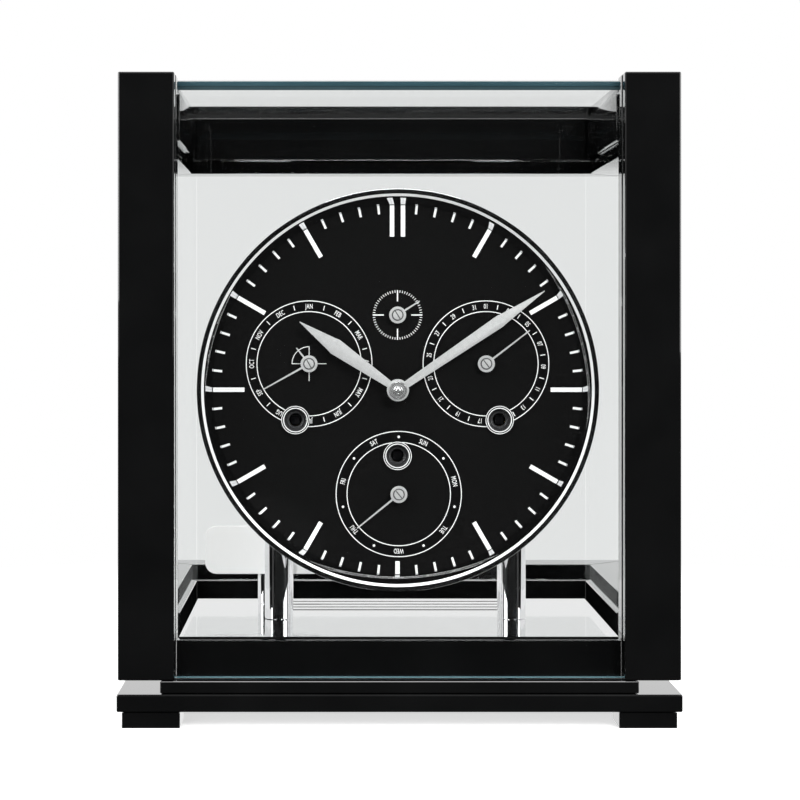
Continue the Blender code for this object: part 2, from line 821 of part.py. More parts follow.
def make_main_hands(frame):
    hour_axis = make_axis("hour_axis", frame, (0, 0), hour_hand_angle)
    outline = main_hand_outline(hour_hand_length, hour_hand_widest, hour_hand_half_width)
    bm = add_prism(bmesh.new(), outline, hour_hand_level, hour_hand_level + hand_thickness)
    cut = add_rod(bmesh.new(), hour_pipe_radius + fit_gap, hour_hand_level - cut_overrun,
                  hour_hand_level + hand_thickness + cut_overrun, small_sides)
    make_piece("hour_hand", bm, "brushed steel", parent=hour_axis, cut=cut)

    minute_axis = make_axis("minute_axis", frame, (0, 0), minute_hand_angle)
    outline = main_hand_outline(minute_hand_length, minute_hand_widest, minute_hand_half_width)
    top = minute_hand_level + hand_thickness
    bm = add_prism(bmesh.new(), outline, minute_hand_level, top)
    bore = centre_arbor_radius + fit_gap
    cut = add_rod(bmesh.new(), bore, minute_hand_level - cut_overrun, top + cut_overrun, small_sides)
    make_piece("minute_hand", bm, "brushed steel", parent=minute_axis, cut=cut)

    seat = top + fit_gap
    shoulder = seat + nut_base_height
    crown = shoulder + nut_dome_height
    profile = [(bore, seat), (nut_base_radius, seat), (nut_base_radius, shoulder - fine_round),
               (nut_base_radius - fine_round, shoulder), (nut_dome_radius, shoulder)]
    dome_steps = tiny_sides // 2
    for step in range(1, dome_steps):
        angle = math.pi / 2 * step / dome_steps
        profile.append((nut_dome_radius * math.cos(angle), shoulder + nut_dome_height * math.sin(angle)))
    profile += [(0, crown), (0, seat + nut_bore_depth), (bore, seat + nut_bore_depth)]
    bm = add_turned(bmesh.new(), profile, middle_sides - tiny_sides)
    make_piece("hand_nut", bm, "polished steel", parent=minute_axis, smooth=True)


def make_small_hand(frame, name, place, angle, length, arbor_radius):
    axis = make_axis(name + "_axis", frame, place, angle)
    base = small_hand_level
    bm = add_prism(bmesh.new(), small_hand_outline(small_hub_radius, length), base,
                   base + small_hand_thickness)
    hub_top = base + small_hub_height
    add = bmesh.new()
    profile = [(0, base + small_hand_thickness / 2), (small_hub_radius - fine_round, base + small_hand_thickness / 2),
               (small_hub_radius - fine_round, hub_top), (small_screw_radius, hub_top),
               (small_screw_radius, hub_top + small_screw_height), (0, hub_top + small_screw_height)]
    add_turned(add, profile, small_sides, closed=False)
    cut = add_rod(bmesh.new(), arbor_radius + fit_gap, base - cut_overrun, base + small_bore_depth,
                  tiny_sides)
    slot_floor = hub_top + small_screw_height - small_screw_slot_depth
    half_slot = small_screw_slot_width / 2
    add_box(cut, (-small_hub_radius, -half_slot, slot_floor),
            (small_hub_radius, half_slot, slot_floor + cut_overrun))
    make_piece(name, bm, "brushed steel", parent=axis, add=add, cut=cut)


def make_leap_hand(frame):
    place = (-small_dial_across, small_dial_up)
    axis = make_axis("leap_year_axis", frame, place, leap_hand_angle)
    base = leap_hand_level
    bm = add_prism(bmesh.new(), small_hand_outline(leap_hub_radius, leap_hand_length), base,
                   base + small_hand_thickness)
    add = bmesh.new()
    add_rod(add, leap_pipe_radius, -leap_pipe_rear, base + small_hand_thickness / 2, small_sides)
    cam = star_outline(leap_cam_points, leap_cam_tip, leap_cam_root)
    cam_bm = bmesh.new()
    add_prism(cam_bm, cam, -leap_pipe_rear + fit_gap, -leap_pipe_rear + fit_gap + leap_cam_metal)
    cut = add_rod(bmesh.new(), month_arbor_radius + fit_gap, -leap_pipe_rear - cut_overrun,
                  base + small_hand_thickness + cut_overrun, small_sides)
    item = make_piece("leap_year_hand", bm, "brushed steel", parent=axis, add=add)
    add_boolean_again(item, cam_bm, "UNION", "cam")
    add_boolean_again(item, cut, "DIFFERENCE", "bore")


def add_boolean_again(item, tool_bm, operation, label):
    tool = make_object(item.name + "_" + label, tool_bm, item.location, item.parent, item.rotation_euler)
    tool.display_type = "WIRE"
    tool.hide_render = True
    modifier = item.modifiers.new(label.title(), "BOOLEAN")
    modifier.operation = operation
    modifier.solver = "EXACT"
    modifier.object = tool


def make_hands(frame):
    make_main_hands(frame)
    make_small_hand(frame, "seconds_hand", (0, seconds_dial_up), seconds_hand_angle,
                    seconds_hand_length, small_arbor_radius)
    make_small_hand(frame, "month_hand", (-small_dial_across, small_dial_up), month_hand_angle,
                    month_hand_length, month_arbor_radius)
    make_small_hand(frame, "date_hand", (small_dial_across, small_dial_up), date_hand_angle,
                    date_hand_length, small_arbor_radius)
    make_small_hand(frame, "weekday_hand", (0, -weekday_dial_down), weekday_hand_angle,
                    weekday_hand_length, small_arbor_radius)
    make_leap_hand(frame)


def plate_outline():
    inner = plate_half_width - plate_corner_cut
    right = [(inner, -plate_bottom), (plate_half_width, -plate_bottom + plate_corner_cut),
             (plate_half_width, plate_top - plate_corner_cut), (inner, plate_top)]
    return right + [(-x, y) for x, y in reversed(right)]


def pillar_places():
    across = plate_half_width - pillar_side_inset
    heights = (pillar_bottom_inset - plate_bottom, plate_top - pillar_top_inset)
    return [(x_sign * across, y) for x_sign in (-1, 1) for y in heights]


def motion_arbor_place():
    return (motion_arbor_offset, motion_arbor_offset)


def make_plates(frame):
    front = -front_plate_depth
    rear = -front_plate_rear
    bm = add_prism(bmesh.new(), plate_outline(), rear, front)
    cut = bmesh.new()
    holes = [((0, 0), centre_arbor_radius), ((0, seconds_dial_up), small_arbor_radius)]
    holes += [(place, winding_arbor_radius) for _, place in winding_places()]
    holes += [(place, pillar_tenon_radius) for place in pillar_places()]
    holes += [(place, dial_foot_diameter / 2) for place in foot_places()]
    for place, radius in holes:
        add_rod(cut, radius + fit_gap, rear - cut_overrun, front + cut_overrun, tiny_sides, place)
    make_piece("movement_front_plate", bm, "brass", parent=frame, cut=cut)

    front = -back_plate_depth
    rear = -back_plate_rear
    bm = add_prism(bmesh.new(), plate_outline(), rear, front)
    add = bmesh.new()
    shoulder = -front_plate_rear - fit_gap
    tenon_end = -front_plate_depth - fit_gap
    for x, y in pillar_places():
        profile = [(0, rear + plate_metal / 2), (pillar_radius, rear + plate_metal / 2),
                   (pillar_radius, shoulder), (pillar_tenon_radius, shoulder),
                   (pillar_tenon_radius, tenon_end), (0, tenon_end)]
        turned = add_turned(bmesh.new(), profile, small_sides, closed=False)
        bmesh.ops.translate(turned, verts=turned.verts, vec=(x, y, 0))
        mesh = bpy.data.meshes.new("pillar")
        turned.to_mesh(mesh)
        turned.free()
        add.from_mesh(mesh)
        bpy.data.meshes.remove(mesh)
    cut = bmesh.new()
    holes = [((0, 0), centre_arbor_radius), ((0, seconds_dial_up), small_arbor_radius),
             ((balance_across, balance_up), balance_staff_radius),
             ((-hammer_axis_across, hammer_axis_up), hammer_pin_radius)]
    holes += [(place, winding_arbor_radius) for _, place in winding_places()]
    for place, radius in holes:
        add_rod(cut, radius + fit_gap, rear - cut_overrun, front + cut_overrun, tiny_sides, place)
    make_piece("movement_back_plate", bm, "brass", parent=frame, add=add, cut=cut)


def make_shelf(frame):
    bm = add_box(bmesh.new(), (-shelf_half_width, shelf_bottom, -shelf_rear_depth),
                 (shelf_half_width, shelf_top, -shelf_front_depth))
    cut = bmesh.new()
    for side in (-1, 1):
        made = add_rod(bmesh.new(), column_stud_diameter / 2 + fit_gap, -shelf_metal, shelf_metal * 2,
                       small_sides)
        bmesh.ops.rotate(made, verts=made.verts, cent=(0, 0, 0), matrix=Matrix.Rotation(-math.pi / 2, 3, "X"))
        bmesh.ops.translate(made, verts=made.verts,
                            vec=(side * column_spacing / 2, shelf_bottom, dial_setback - column_setback))
        mesh = bpy.data.meshes.new("hole")
        made.to_mesh(mesh)
        made.free()
        cut.from_mesh(mesh)
        bpy.data.meshes.remove(mesh)
    make_piece("movement_shelf", bm, "dark steel", parent=frame, cut=cut)


def make_barrels(frame):
    rear = -barrel_front_depth - barrel_length
    front = -barrel_front_depth
    names = {"left": "strike", "lower": "going", "right": "chime"}
    for place_name, (x, y) in winding_places():
        name = names[place_name]
        outline = gear_outline(great_wheel_teeth, great_wheel_tip, great_wheel_root)
        bm = add_prism(bmesh.new(), outline, rear, rear + great_wheel_metal)
        add = add_rod(bmesh.new(), barrel_radius, rear + great_wheel_metal / 2, front, middle_sides)
        cut = add_rod(bmesh.new(), winding_arbor_radius + fit_gap, rear - cut_overrun,
                      front + cut_overrun, small_sides)
        make_piece(name + "_barrel", bm, "brass", (x, y, 0), frame, add=add, cut=cut)

        ratchet_front = -calendar_plate_rear - fit_gap * 2
        ratchet_rear = ratchet_front - ratchet_metal
        profile = [(0, -arbor_rear), (winding_arbor_radius, -arbor_rear),
                   (winding_arbor_radius, -back_plate_depth + fit_gap),
                   (winding_collar_radius, -back_plate_depth + fit_gap),
                   (winding_collar_radius, rear - fit_gap), (winding_arbor_radius, rear - fit_gap),
                   (winding_arbor_radius, ratchet_rear + ratchet_metal / 2),
                   (0, ratchet_rear + ratchet_metal / 2)]
        bm = add_turned(bmesh.new(), profile, small_sides, closed=False)
        add = add_prism(bmesh.new(), star_outline(ratchet_teeth, ratchet_tip, ratchet_root),
                        ratchet_rear, ratchet_front)
        item = make_piece(name + "_winding_arbor", bm, "dark steel", (x, y, 0), frame, add=add)
        half = winding_square_side / 2
        square = add_box(bmesh.new(), (-half, -half, ratchet_front - ratchet_metal / 3),
                         (half, half, -winding_square_end))
        add_boolean_again(item, square, "UNION", "square")


def make_train(frame):
    minute_axis = make_axis("centre_axis", frame, (0, 0), 0)
    module = 2 * motion_centre_distance / (cannon_teeth + minute_wheel_teeth)
    fine_module = 2 * motion_centre_distance / (minute_pinion_teeth + hour_wheel_teeth)
    towards = math.pi / 4
    bm = add_rod(bmesh.new(), centre_arbor_radius, -arbor_rear, centre_arbor_end, small_sides)
    tip, root = meshing_radii(module, cannon_teeth)
    add = add_prism(bmesh.new(), gear_outline(cannon_teeth, tip, root, towards),
                    -cannon_depth - cannon_length, -cannon_depth)
    item = make_piece("centre_wheel", bm, "brass", parent=minute_axis, add=add)
    wheel = add_prism(bmesh.new(), gear_outline(centre_wheel_teeth, centre_wheel_tip, centre_wheel_root),
                      -centre_wheel_depth - centre_wheel_metal, -centre_wheel_depth)
    add_boolean_again(item, wheel, "UNION", "wheel")

    tip, root = meshing_radii(fine_module, hour_wheel_teeth)
    hour_rear = -hour_wheel_depth - hour_wheel_metal
    bm = add_prism(bmesh.new(), gear_outline(hour_wheel_teeth, tip, root, towards),
                   hour_rear, -hour_wheel_depth)
    add = add_rod(bmesh.new(), hour_pipe_radius, hour_rear + hour_wheel_metal / 2, hour_pipe_end,
                  small_sides)
    cut = add_rod(bmesh.new(), centre_arbor_radius + fit_gap, hour_rear - cut_overrun,
                  hour_pipe_end + cut_overrun, small_sides)
    make_piece("hour_wheel", bm, "brass", parent=minute_axis, add=add, cut=cut)

    tip, root = meshing_radii(module, minute_wheel_teeth)
    back = towards + math.pi
    x, y = motion_arbor_place()
    wheel_rear = -minute_wheel_depth - minute_wheel_metal
    bm = add_prism(bmesh.new(), gear_outline(minute_wheel_teeth, tip, root, back + math.pi / minute_wheel_teeth),
                   wheel_rear, -minute_wheel_depth)
    tip, root = meshing_radii(fine_module, minute_pinion_teeth)
    add = add_prism(bmesh.new(), gear_outline(minute_pinion_teeth, tip, root, back + math.pi / minute_pinion_teeth),
                    -minute_wheel_depth - minute_wheel_metal / 2, -hour_wheel_depth + fit_gap)
    item = make_piece("minute_wheel", bm, "brass", (x, y, 0), frame, add=add)
    arbor = add_rod(bmesh.new(), motion_arbor_radius, -small_arbor_rear, -motion_arbor_end, tiny_sides)
    add_boolean_again(item, arbor, "UNION", "arbor")

    bm = add_prism(bmesh.new(), gear_outline(seconds_wheel_teeth, seconds_wheel_tip, seconds_wheel_root),
                   -seconds_wheel_depth - seconds_wheel_metal, -seconds_wheel_depth)
    add = add_rod(bmesh.new(), small_arbor_radius, -arbor_rear, small_arbor_end, tiny_sides)
    make_piece("seconds_wheel", bm, "brass", (0, seconds_dial_up, 0), frame, add=add)


def make_calendar(frame):
    front = -calendar_plate_depth
    rear = -calendar_plate_rear
    bm = add_rod(bmesh.new(), calendar_plate_radius, rear, front, middle_sides)
    add = bmesh.new()
    leg_end = -front_plate_depth + fit_gap
    for x_sign in (-1, 1):
        for y in (-calendar_leg_down, calendar_leg_up):
            add_rod(add, calendar_leg_radius, leg_end, (front + rear) / 2, tiny_sides,
                    (x_sign * calendar_leg_across, y))
    cut = bmesh.new()
    holes = [((0, 0), centre_arbor_radius), ((0, seconds_dial_up), small_arbor_radius),
             ((small_dial_across, small_dial_up), small_arbor_radius),
             ((-small_dial_across, small_dial_up), month_arbor_radius),
             ((0, -weekday_dial_down), small_arbor_radius), (motion_arbor_place(), motion_arbor_radius)]
    holes += [(place, winding_square_side / 2 * math.sqrt(2)) for _, place in winding_places()]
    for place, radius in holes:
        add_rod(cut, radius + fit_gap, rear - cut_overrun, front + cut_overrun, tiny_sides, place)
    make_piece("calendar_plate", bm, "brass", parent=frame, add=add, cut=cut)

    wheels = (("date_wheel", (small_dial_across, small_dial_up), date_wheel_teeth, date_wheel_tip,
               date_wheel_root, small_arbor_radius),
              ("weekday_wheel", (0, -weekday_dial_down), weekday_wheel_teeth, weekday_wheel_tip,
               weekday_wheel_root, small_arbor_radius),
              ("month_wheel", (-small_dial_across, small_dial_up), month_wheel_teeth, month_wheel_tip,
               month_wheel_root, month_arbor_radius))
    for name, (x, y), teeth, tip, root, arbor_radius in wheels:
        wheel_rear = -calendar_wheel_depth - calendar_wheel_metal
        bm = add_prism(bmesh.new(), star_outline(teeth, tip, root), wheel_rear, -calendar_wheel_depth)
        add = add_rod(bmesh.new(), arbor_radius, -small_arbor_rear, small_arbor_end, tiny_sides)
        make_piece(name, bm, "brass", (x, y, 0), frame, add=add)


def make_balance(frame):
    place = (balance_across, balance_up, 0)
    rear = -balance_depth - balance_rim_height
    inner = balance_radius - balance_rim_width
    profile = [(inner, rear), (balance_radius, rear), (balance_radius, -balance_depth),
               (inner, -balance_depth)]
    bm = add_turned(bmesh.new(), profile, middle_sides)
    add = add_rod(bmesh.new(), balance_hub_radius, rear + fit_gap, -balance_depth - fit_gap, small_sides)
    item = make_piece("balance_wheel", bm, "brass", place, frame)
    half_spoke = balance_spoke_width / 2
    spoke_reach = balance_radius - balance_rim_width / 2
    for index in range(balance_spokes):
        spoke = add_box(bmesh.new(), (0, -half_spoke, rear + fit_gap), (spoke_reach, half_spoke, -balance_depth - fit_gap))
        turn = Matrix.Rotation(math.tau * index / balance_spokes, 3, "Z")
        bmesh.ops.rotate(spoke, verts=spoke.verts, cent=(0, 0, 0), matrix=turn)
        add_boolean_again(item, spoke, "UNION", "spoke_" + str(index))
    add_boolean_again(item, add, "UNION", "hub")
    staff = add_rod(bmesh.new(), balance_staff_radius, -bridge_depth - bridge_metal + fit_gap,
                    -back_plate_depth - plate_metal / 2, tiny_sides)
    add_boolean_again(item, staff, "UNION", "staff")

    front = -back_plate_rear - fit_gap
    under = -bridge_depth
    outer = -bridge_depth - bridge_metal
    foot_end = bridge_foot_start + bridge_foot_length
    outline = [(-bridge_overhang, outer), (foot_end, outer), (foot_end, front),
               (bridge_foot_start, front), (bridge_foot_start, under), (-bridge_overhang, under)]
    bm = add_prism(bmesh.new(), outline, -bridge_width / 2, bridge_width / 2)
    bmesh.ops.rotate(bm, verts=bm.verts, cent=(0, 0, 0), matrix=Matrix.Rotation(math.pi / 2, 3, "X"))
    cut = add_rod(bmesh.new(), balance_staff_radius + fit_gap, outer - cut_overrun,
                  under + cut_overrun, tiny_sides)
    make_piece("balance_bridge", bm, "brushed steel", place, frame, cut=cut)


def make_chime(frame):
    block_low = shelf_top + fit_gap
    half_block = rod_block_thickness / 2
    half_width = rod_block_width / 2
    bm = add_box(bmesh.new(), (-rod_block_side - half_width, block_low, -rod_depth - half_block),
                 (-rod_block_side + half_width, rod_block_top, -rod_depth + half_block))
    add = bmesh.new()
    for index in range(rod_count):
        made = add_rod(bmesh.new(), rod_radius, -rod_block_side, rod_reach, tiny_sides)
        bmesh.ops.rotate(made, verts=made.verts, cent=(0, 0, 0), matrix=Matrix.Rotation(math.pi / 2, 3, "Y"))
        bmesh.ops.translate(made, verts=made.verts, vec=(0, -top_rod_down - index * rod_pitch, -rod_depth))
        mesh = bpy.data.meshes.new("rod")
        made.to_mesh(mesh)
        made.free()
        add.from_mesh(mesh)
        bpy.data.meshes.remove(mesh)
    make_piece("chime_rods", bm, "brass", parent=frame, add=add)

    head_x = hammer_axis_across - hammer_head_across
    head_y = -top_rod_down + rod_radius + hammer_rest_gap + hammer_head_radius - hammer_axis_up
    arm_front = -hammer_arm_depth
    arm_rear = arm_front - hammer_arm_metal
    direction = Vector((head_x, head_y)).normalized()
    side = Vector((-direction.y, direction.x)) * hammer_arm_width / 2
    head = Vector((head_x, head_y))
    outline = [side, -side, head - side, head + side]
    bm = add_prism(bmesh.new(), [(point.x, point.y) for point in outline], arm_rear, arm_front)
    half_head = hammer_head_length / 2
    middle = (arm_front + arm_rear) / 2
    add = add_rod(bmesh.new(), hammer_head_radius, middle - half_head, middle + half_head, small_sides,
                  (head_x, head_y))
    place = (-hammer_axis_across, hammer_axis_up, 0)
    item = make_piece("strike_hammer", bm, "dark steel", place, frame, add=add)
    hub = add_rod(bmesh.new(), hammer_hub_radius, arm_rear - fit_gap, -back_plate_rear - fit_gap, small_sides)
    add_boolean_again(item, hub, "UNION", "hub")
    pin = add_rod(bmesh.new(), hammer_pin_radius, -back_plate_rear - hammer_arm_metal,
                  -back_plate_depth - fit_gap, tiny_sides)
    add_boolean_again(item, pin, "UNION", "pin")


def build_clock():
    clear_scene()
    make_base()
    make_posts()
    make_bottom_rails()
    make_top_rails()
    make_glass()
    make_floor_plate()
    make_columns()
    make_name_plate()
    dial_frame = make_empty("dial_frame", (0, front_y + dial_setback, dial_centre_height), (math.pi / 2, 0, 0))
    make_dial(dial_frame)
    make_grommets(dial_frame)
    make_hands(dial_frame)
    make_plates(dial_frame)
    make_shelf(dial_frame)
    make_barrels(dial_frame)
    make_train(dial_frame)
    make_calendar(dial_frame)
    make_balance(dial_frame)
    make_chime(dial_frame)


build_clock()
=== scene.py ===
# Looks of the perpetual calendar table clock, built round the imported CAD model.
# Lengths are in metres. The dial's own measure is x to the right, y up and z towards the viewer.

import json
import math

import bmesh
import bpy
from mathutils import Matrix, Vector

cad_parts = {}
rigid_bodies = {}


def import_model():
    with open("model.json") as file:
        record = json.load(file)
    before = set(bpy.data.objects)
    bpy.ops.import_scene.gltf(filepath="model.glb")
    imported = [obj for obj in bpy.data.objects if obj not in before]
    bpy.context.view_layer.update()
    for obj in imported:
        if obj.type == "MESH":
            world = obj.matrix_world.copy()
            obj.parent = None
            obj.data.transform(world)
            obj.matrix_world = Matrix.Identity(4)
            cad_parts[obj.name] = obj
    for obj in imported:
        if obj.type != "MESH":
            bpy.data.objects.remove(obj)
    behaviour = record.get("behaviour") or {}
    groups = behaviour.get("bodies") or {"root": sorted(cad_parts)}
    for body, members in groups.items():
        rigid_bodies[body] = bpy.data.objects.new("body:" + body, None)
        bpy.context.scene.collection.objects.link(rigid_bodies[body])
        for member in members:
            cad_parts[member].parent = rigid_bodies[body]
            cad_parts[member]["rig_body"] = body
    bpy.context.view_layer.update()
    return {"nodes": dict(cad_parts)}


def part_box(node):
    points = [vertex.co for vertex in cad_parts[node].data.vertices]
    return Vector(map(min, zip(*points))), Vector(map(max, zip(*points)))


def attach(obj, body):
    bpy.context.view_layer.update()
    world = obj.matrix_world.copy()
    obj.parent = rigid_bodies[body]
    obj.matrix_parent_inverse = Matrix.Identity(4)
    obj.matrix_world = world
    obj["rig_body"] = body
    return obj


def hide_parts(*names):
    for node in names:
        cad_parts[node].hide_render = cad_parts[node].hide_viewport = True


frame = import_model()
nodes = frame["nodes"]
print("frame loaded with", len(nodes), "nodes")

boxOf = {name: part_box(name) for name in nodes}
softAngle = math.radians(35)  # edges flatter than this are shaded smooth
crispAngle = math.radians(25)  # the same for pieces with flat sides
flatAngle = math.radians(0.8)  # triangles flatter than this to each other make one face
mergeDistance = 1e-6
facingShare = 0.9  # a face looks a way when its normal's share of it is larger than this


# Small helpers for every piece

def middleOf(name):
    low, high = boxOf[name]
    return (low + high) / 2


def bodyOf(name):
    return nodes[name]["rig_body"]


def cleanShape(shape):
    bmesh.ops.remove_doubles(shape, verts=shape.verts, dist=mergeDistance)
    bmesh.ops.recalc_face_normals(shape, faces=shape.faces)


def softenEdges(shape, width, segments=2, limit=softAngle):
    # rounds every edge that is sharper than the limit
    sharp = [edge for edge in shape.edges
             if len(edge.link_faces) == 2 and edge.calc_face_angle() > limit]
    bmesh.ops.bevel(shape, geom=sharp, offset=width, offset_type="OFFSET", segments=segments,
                    profile=0.5, affect="EDGES", material=-1, clamp_overlap=True)


def addPiece(name, shape, finishes, body, smoothAngle=softAngle, standsFor=()):
    # the piece keeps its place in its mesh and rides on a CAD body
    for face in shape.faces:
        face.smooth = True
    for edge in shape.edges:
        edge.smooth = len(edge.link_faces) == 2 and edge.calc_face_angle() < smoothAngle
    mesh = bpy.data.meshes.new(name)
    shape.to_mesh(mesh)
    shape.free()
    piece = bpy.data.objects.new(name, mesh)
    bpy.context.scene.collection.objects.link(piece)
    for finish in finishes:
        mesh.materials.append(finish)
    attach(piece, body)
    if standsFor:
        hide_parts(*standsFor)
    return piece


def turnedShape(profile, steps):
    # turns a closed outline of (radius, height) pairs about the local Z axis
    shape = bmesh.new()
    corners = [shape.verts.new((radius, 0, height)) for radius, height in profile]
    lines = [shape.edges.new(pair) for pair in zip(corners, corners[1:])]
    if profile[0][0] > 0 or profile[-1][0] > 0:
        lines.append(shape.edges.new((corners[-1], corners[0])))
    bmesh.ops.spin(shape, geom=corners + lines, cent=(0, 0, 0), axis=(0, 0, 1),
                   angle=math.tau, steps=steps, use_merge=True)
    cleanShape(shape)
    return shape


def copiedShape(nodeName):
    # a CAD node's loose triangles, merged and brought back to whole faces
    shape = bmesh.new()
    shape.from_mesh(nodes[nodeName].data)
    for face in shape.faces:
        face.material_index = 0
    cleanShape(shape)
    bmesh.ops.dissolve_limit(shape, angle_limit=flatAngle, verts=shape.verts, edges=shape.edges)
    return shape


def joinShapes(target, source, matrix=Matrix.Identity(4)):
    # adds one shape to another and frees the first
    mesh = bpy.data.meshes.new("passing")
    source.to_mesh(mesh)
    source.free()
    mesh.transform(matrix)
    target.from_mesh(mesh)
    bpy.data.meshes.remove(mesh)


def moveShape(shape, matrix):
    bmesh.ops.transform(shape, matrix=matrix, verts=shape.verts)


# Finishes

def grey(value):
    return (value, value, value)


def newFinish(name, colour, metallic, roughness):
    # plain values, which a texture linked to the same socket replaces
    finish = bpy.data.materials.new(name)
    finish.use_nodes = True
    shader = finish.node_tree.nodes["Principled BSDF"]
    shader.inputs["Base Color"].default_value = (*colour, 1)
    shader.inputs["Metallic"].default_value = metallic
    shader.inputs["Roughness"].default_value = roughness
    return finish, finish.node_tree, shader


noiseSpan = (0.3, 0.7)  # most of a noise texture lies between these
bumpStrength = 0.2


def objectNoise(tree, scale, stretch=(1, 1, 1), detail=3):
    # noise on the piece's own coordinates, stretched to make brushing
    place = tree.nodes.new("ShaderNodeTexCoord")
    mapping = tree.nodes.new("ShaderNodeMapping")
    mapping.inputs["Scale"].default_value = stretch
    noise = tree.nodes.new("ShaderNodeTexNoise")
    noise.inputs["Scale"].default_value = scale
    noise.inputs["Detail"].default_value = detail
    tree.links.new(place.outputs["Object"], mapping.inputs["Vector"])
    tree.links.new(mapping.outputs["Vector"], noise.inputs["Vector"])
    return noise.outputs["Fac"]


def colourRamp(tree, source, dark, light):
    ramp = tree.nodes.new("ShaderNodeValToRGB")
    for element, place, colour in zip(ramp.color_ramp.elements, noiseSpan, (dark, light)):
        element.position = place
        element.color = (*colour, 1)
    tree.links.new(source, ramp.inputs["Fac"])
    return ramp.outputs["Color"]


def varyColour(tree, shader, source, dark, light):
    tree.links.new(colourRamp(tree, source, dark, light), shader.inputs["Base Color"])


def valueSpan(tree, source, fromLow, fromHigh, toLow, toHigh):
    span = tree.nodes.new("ShaderNodeMapRange")
    span.inputs["From Min"].default_value = fromLow
    span.inputs["From Max"].default_value = fromHigh
    span.inputs["To Min"].default_value = toLow
    span.inputs["To Max"].default_value = toHigh
    tree.links.new(source, span.inputs["Value"])
    return span.outputs["Result"]


def varyRoughness(tree, shader, source, low, high):
    tree.links.new(valueSpan(tree, source, *noiseSpan, low, high), shader.inputs["Roughness"])


def addBump(tree, shader, source, depth):
    bump = tree.nodes.new("ShaderNodeBump")
    bump.inputs["Strength"].default_value = bumpStrength
    bump.inputs["Distance"].default_value = depth
    tree.links.new(source, bump.inputs["Height"])
    tree.links.new(bump.outputs["Normal"], shader.inputs["Normal"])


def objectAxis(tree, axis):
    # one coordinate of the piece's own space
    place = tree.nodes.new("ShaderNodeTexCoord")
    split = tree.nodes.new("ShaderNodeSeparateXYZ")
    tree.links.new(place.outputs["Object"], split.inputs["Vector"])
    return split.outputs[axis]


def calculate(tree, operation, *terms):
    # a math node; each term is a number or another node's output
    step = tree.nodes.new("ShaderNodeMath")
    step.operation = operation
    for socket, term in zip(step.inputs, terms):
        if isinstance(term, float):
            socket.default_value = term
        else:
            tree.links.new(term, socket)
    return step.outputs["Value"]


def mixColours(tree, factor, first, second):
    # the first colour where the factor is 0 and the second where it is 1
    mix = tree.nodes.new("ShaderNodeMix")
    mix.data_type = "RGBA"
    tree.links.new(factor, mix.inputs["Factor"])
    tree.links.new(first, mix.inputs["A"])
    if isinstance(second, tuple):
        mix.inputs["B"].default_value = (*second, 1)
    else:
        tree.links.new(second, mix.inputs["B"])
    return mix.outputs["Result"]


lacquerLook = {"base": grey(0.0038), "dark": (0.0030, 0.0031, 0.0032),
               "light": (0.0042, 0.0043, 0.0044), "colourGrain": 35, "plainRoughness": 0.03,
               "roughness": (0.015, 0.035), "shineGrain": 90, "coat": 0.5, "coatRoughness": 0.01}


def makeLacquer():
    # polished black with a second clear layer, barely uneven
    look = lacquerLook
    finish, tree, shader = newFinish("pianoLacquer", look["base"], 0, look["plainRoughness"])
    varyColour(tree, shader, objectNoise(tree, look["colourGrain"], detail=2),
               look["dark"], look["light"])
    varyRoughness(tree, shader, objectNoise(tree, look["shineGrain"]), *look["roughness"])
    shader.inputs["Coat Weight"].default_value = look["coat"]
    shader.inputs["Coat Roughness"].default_value = look["coatRoughness"]
    return finish


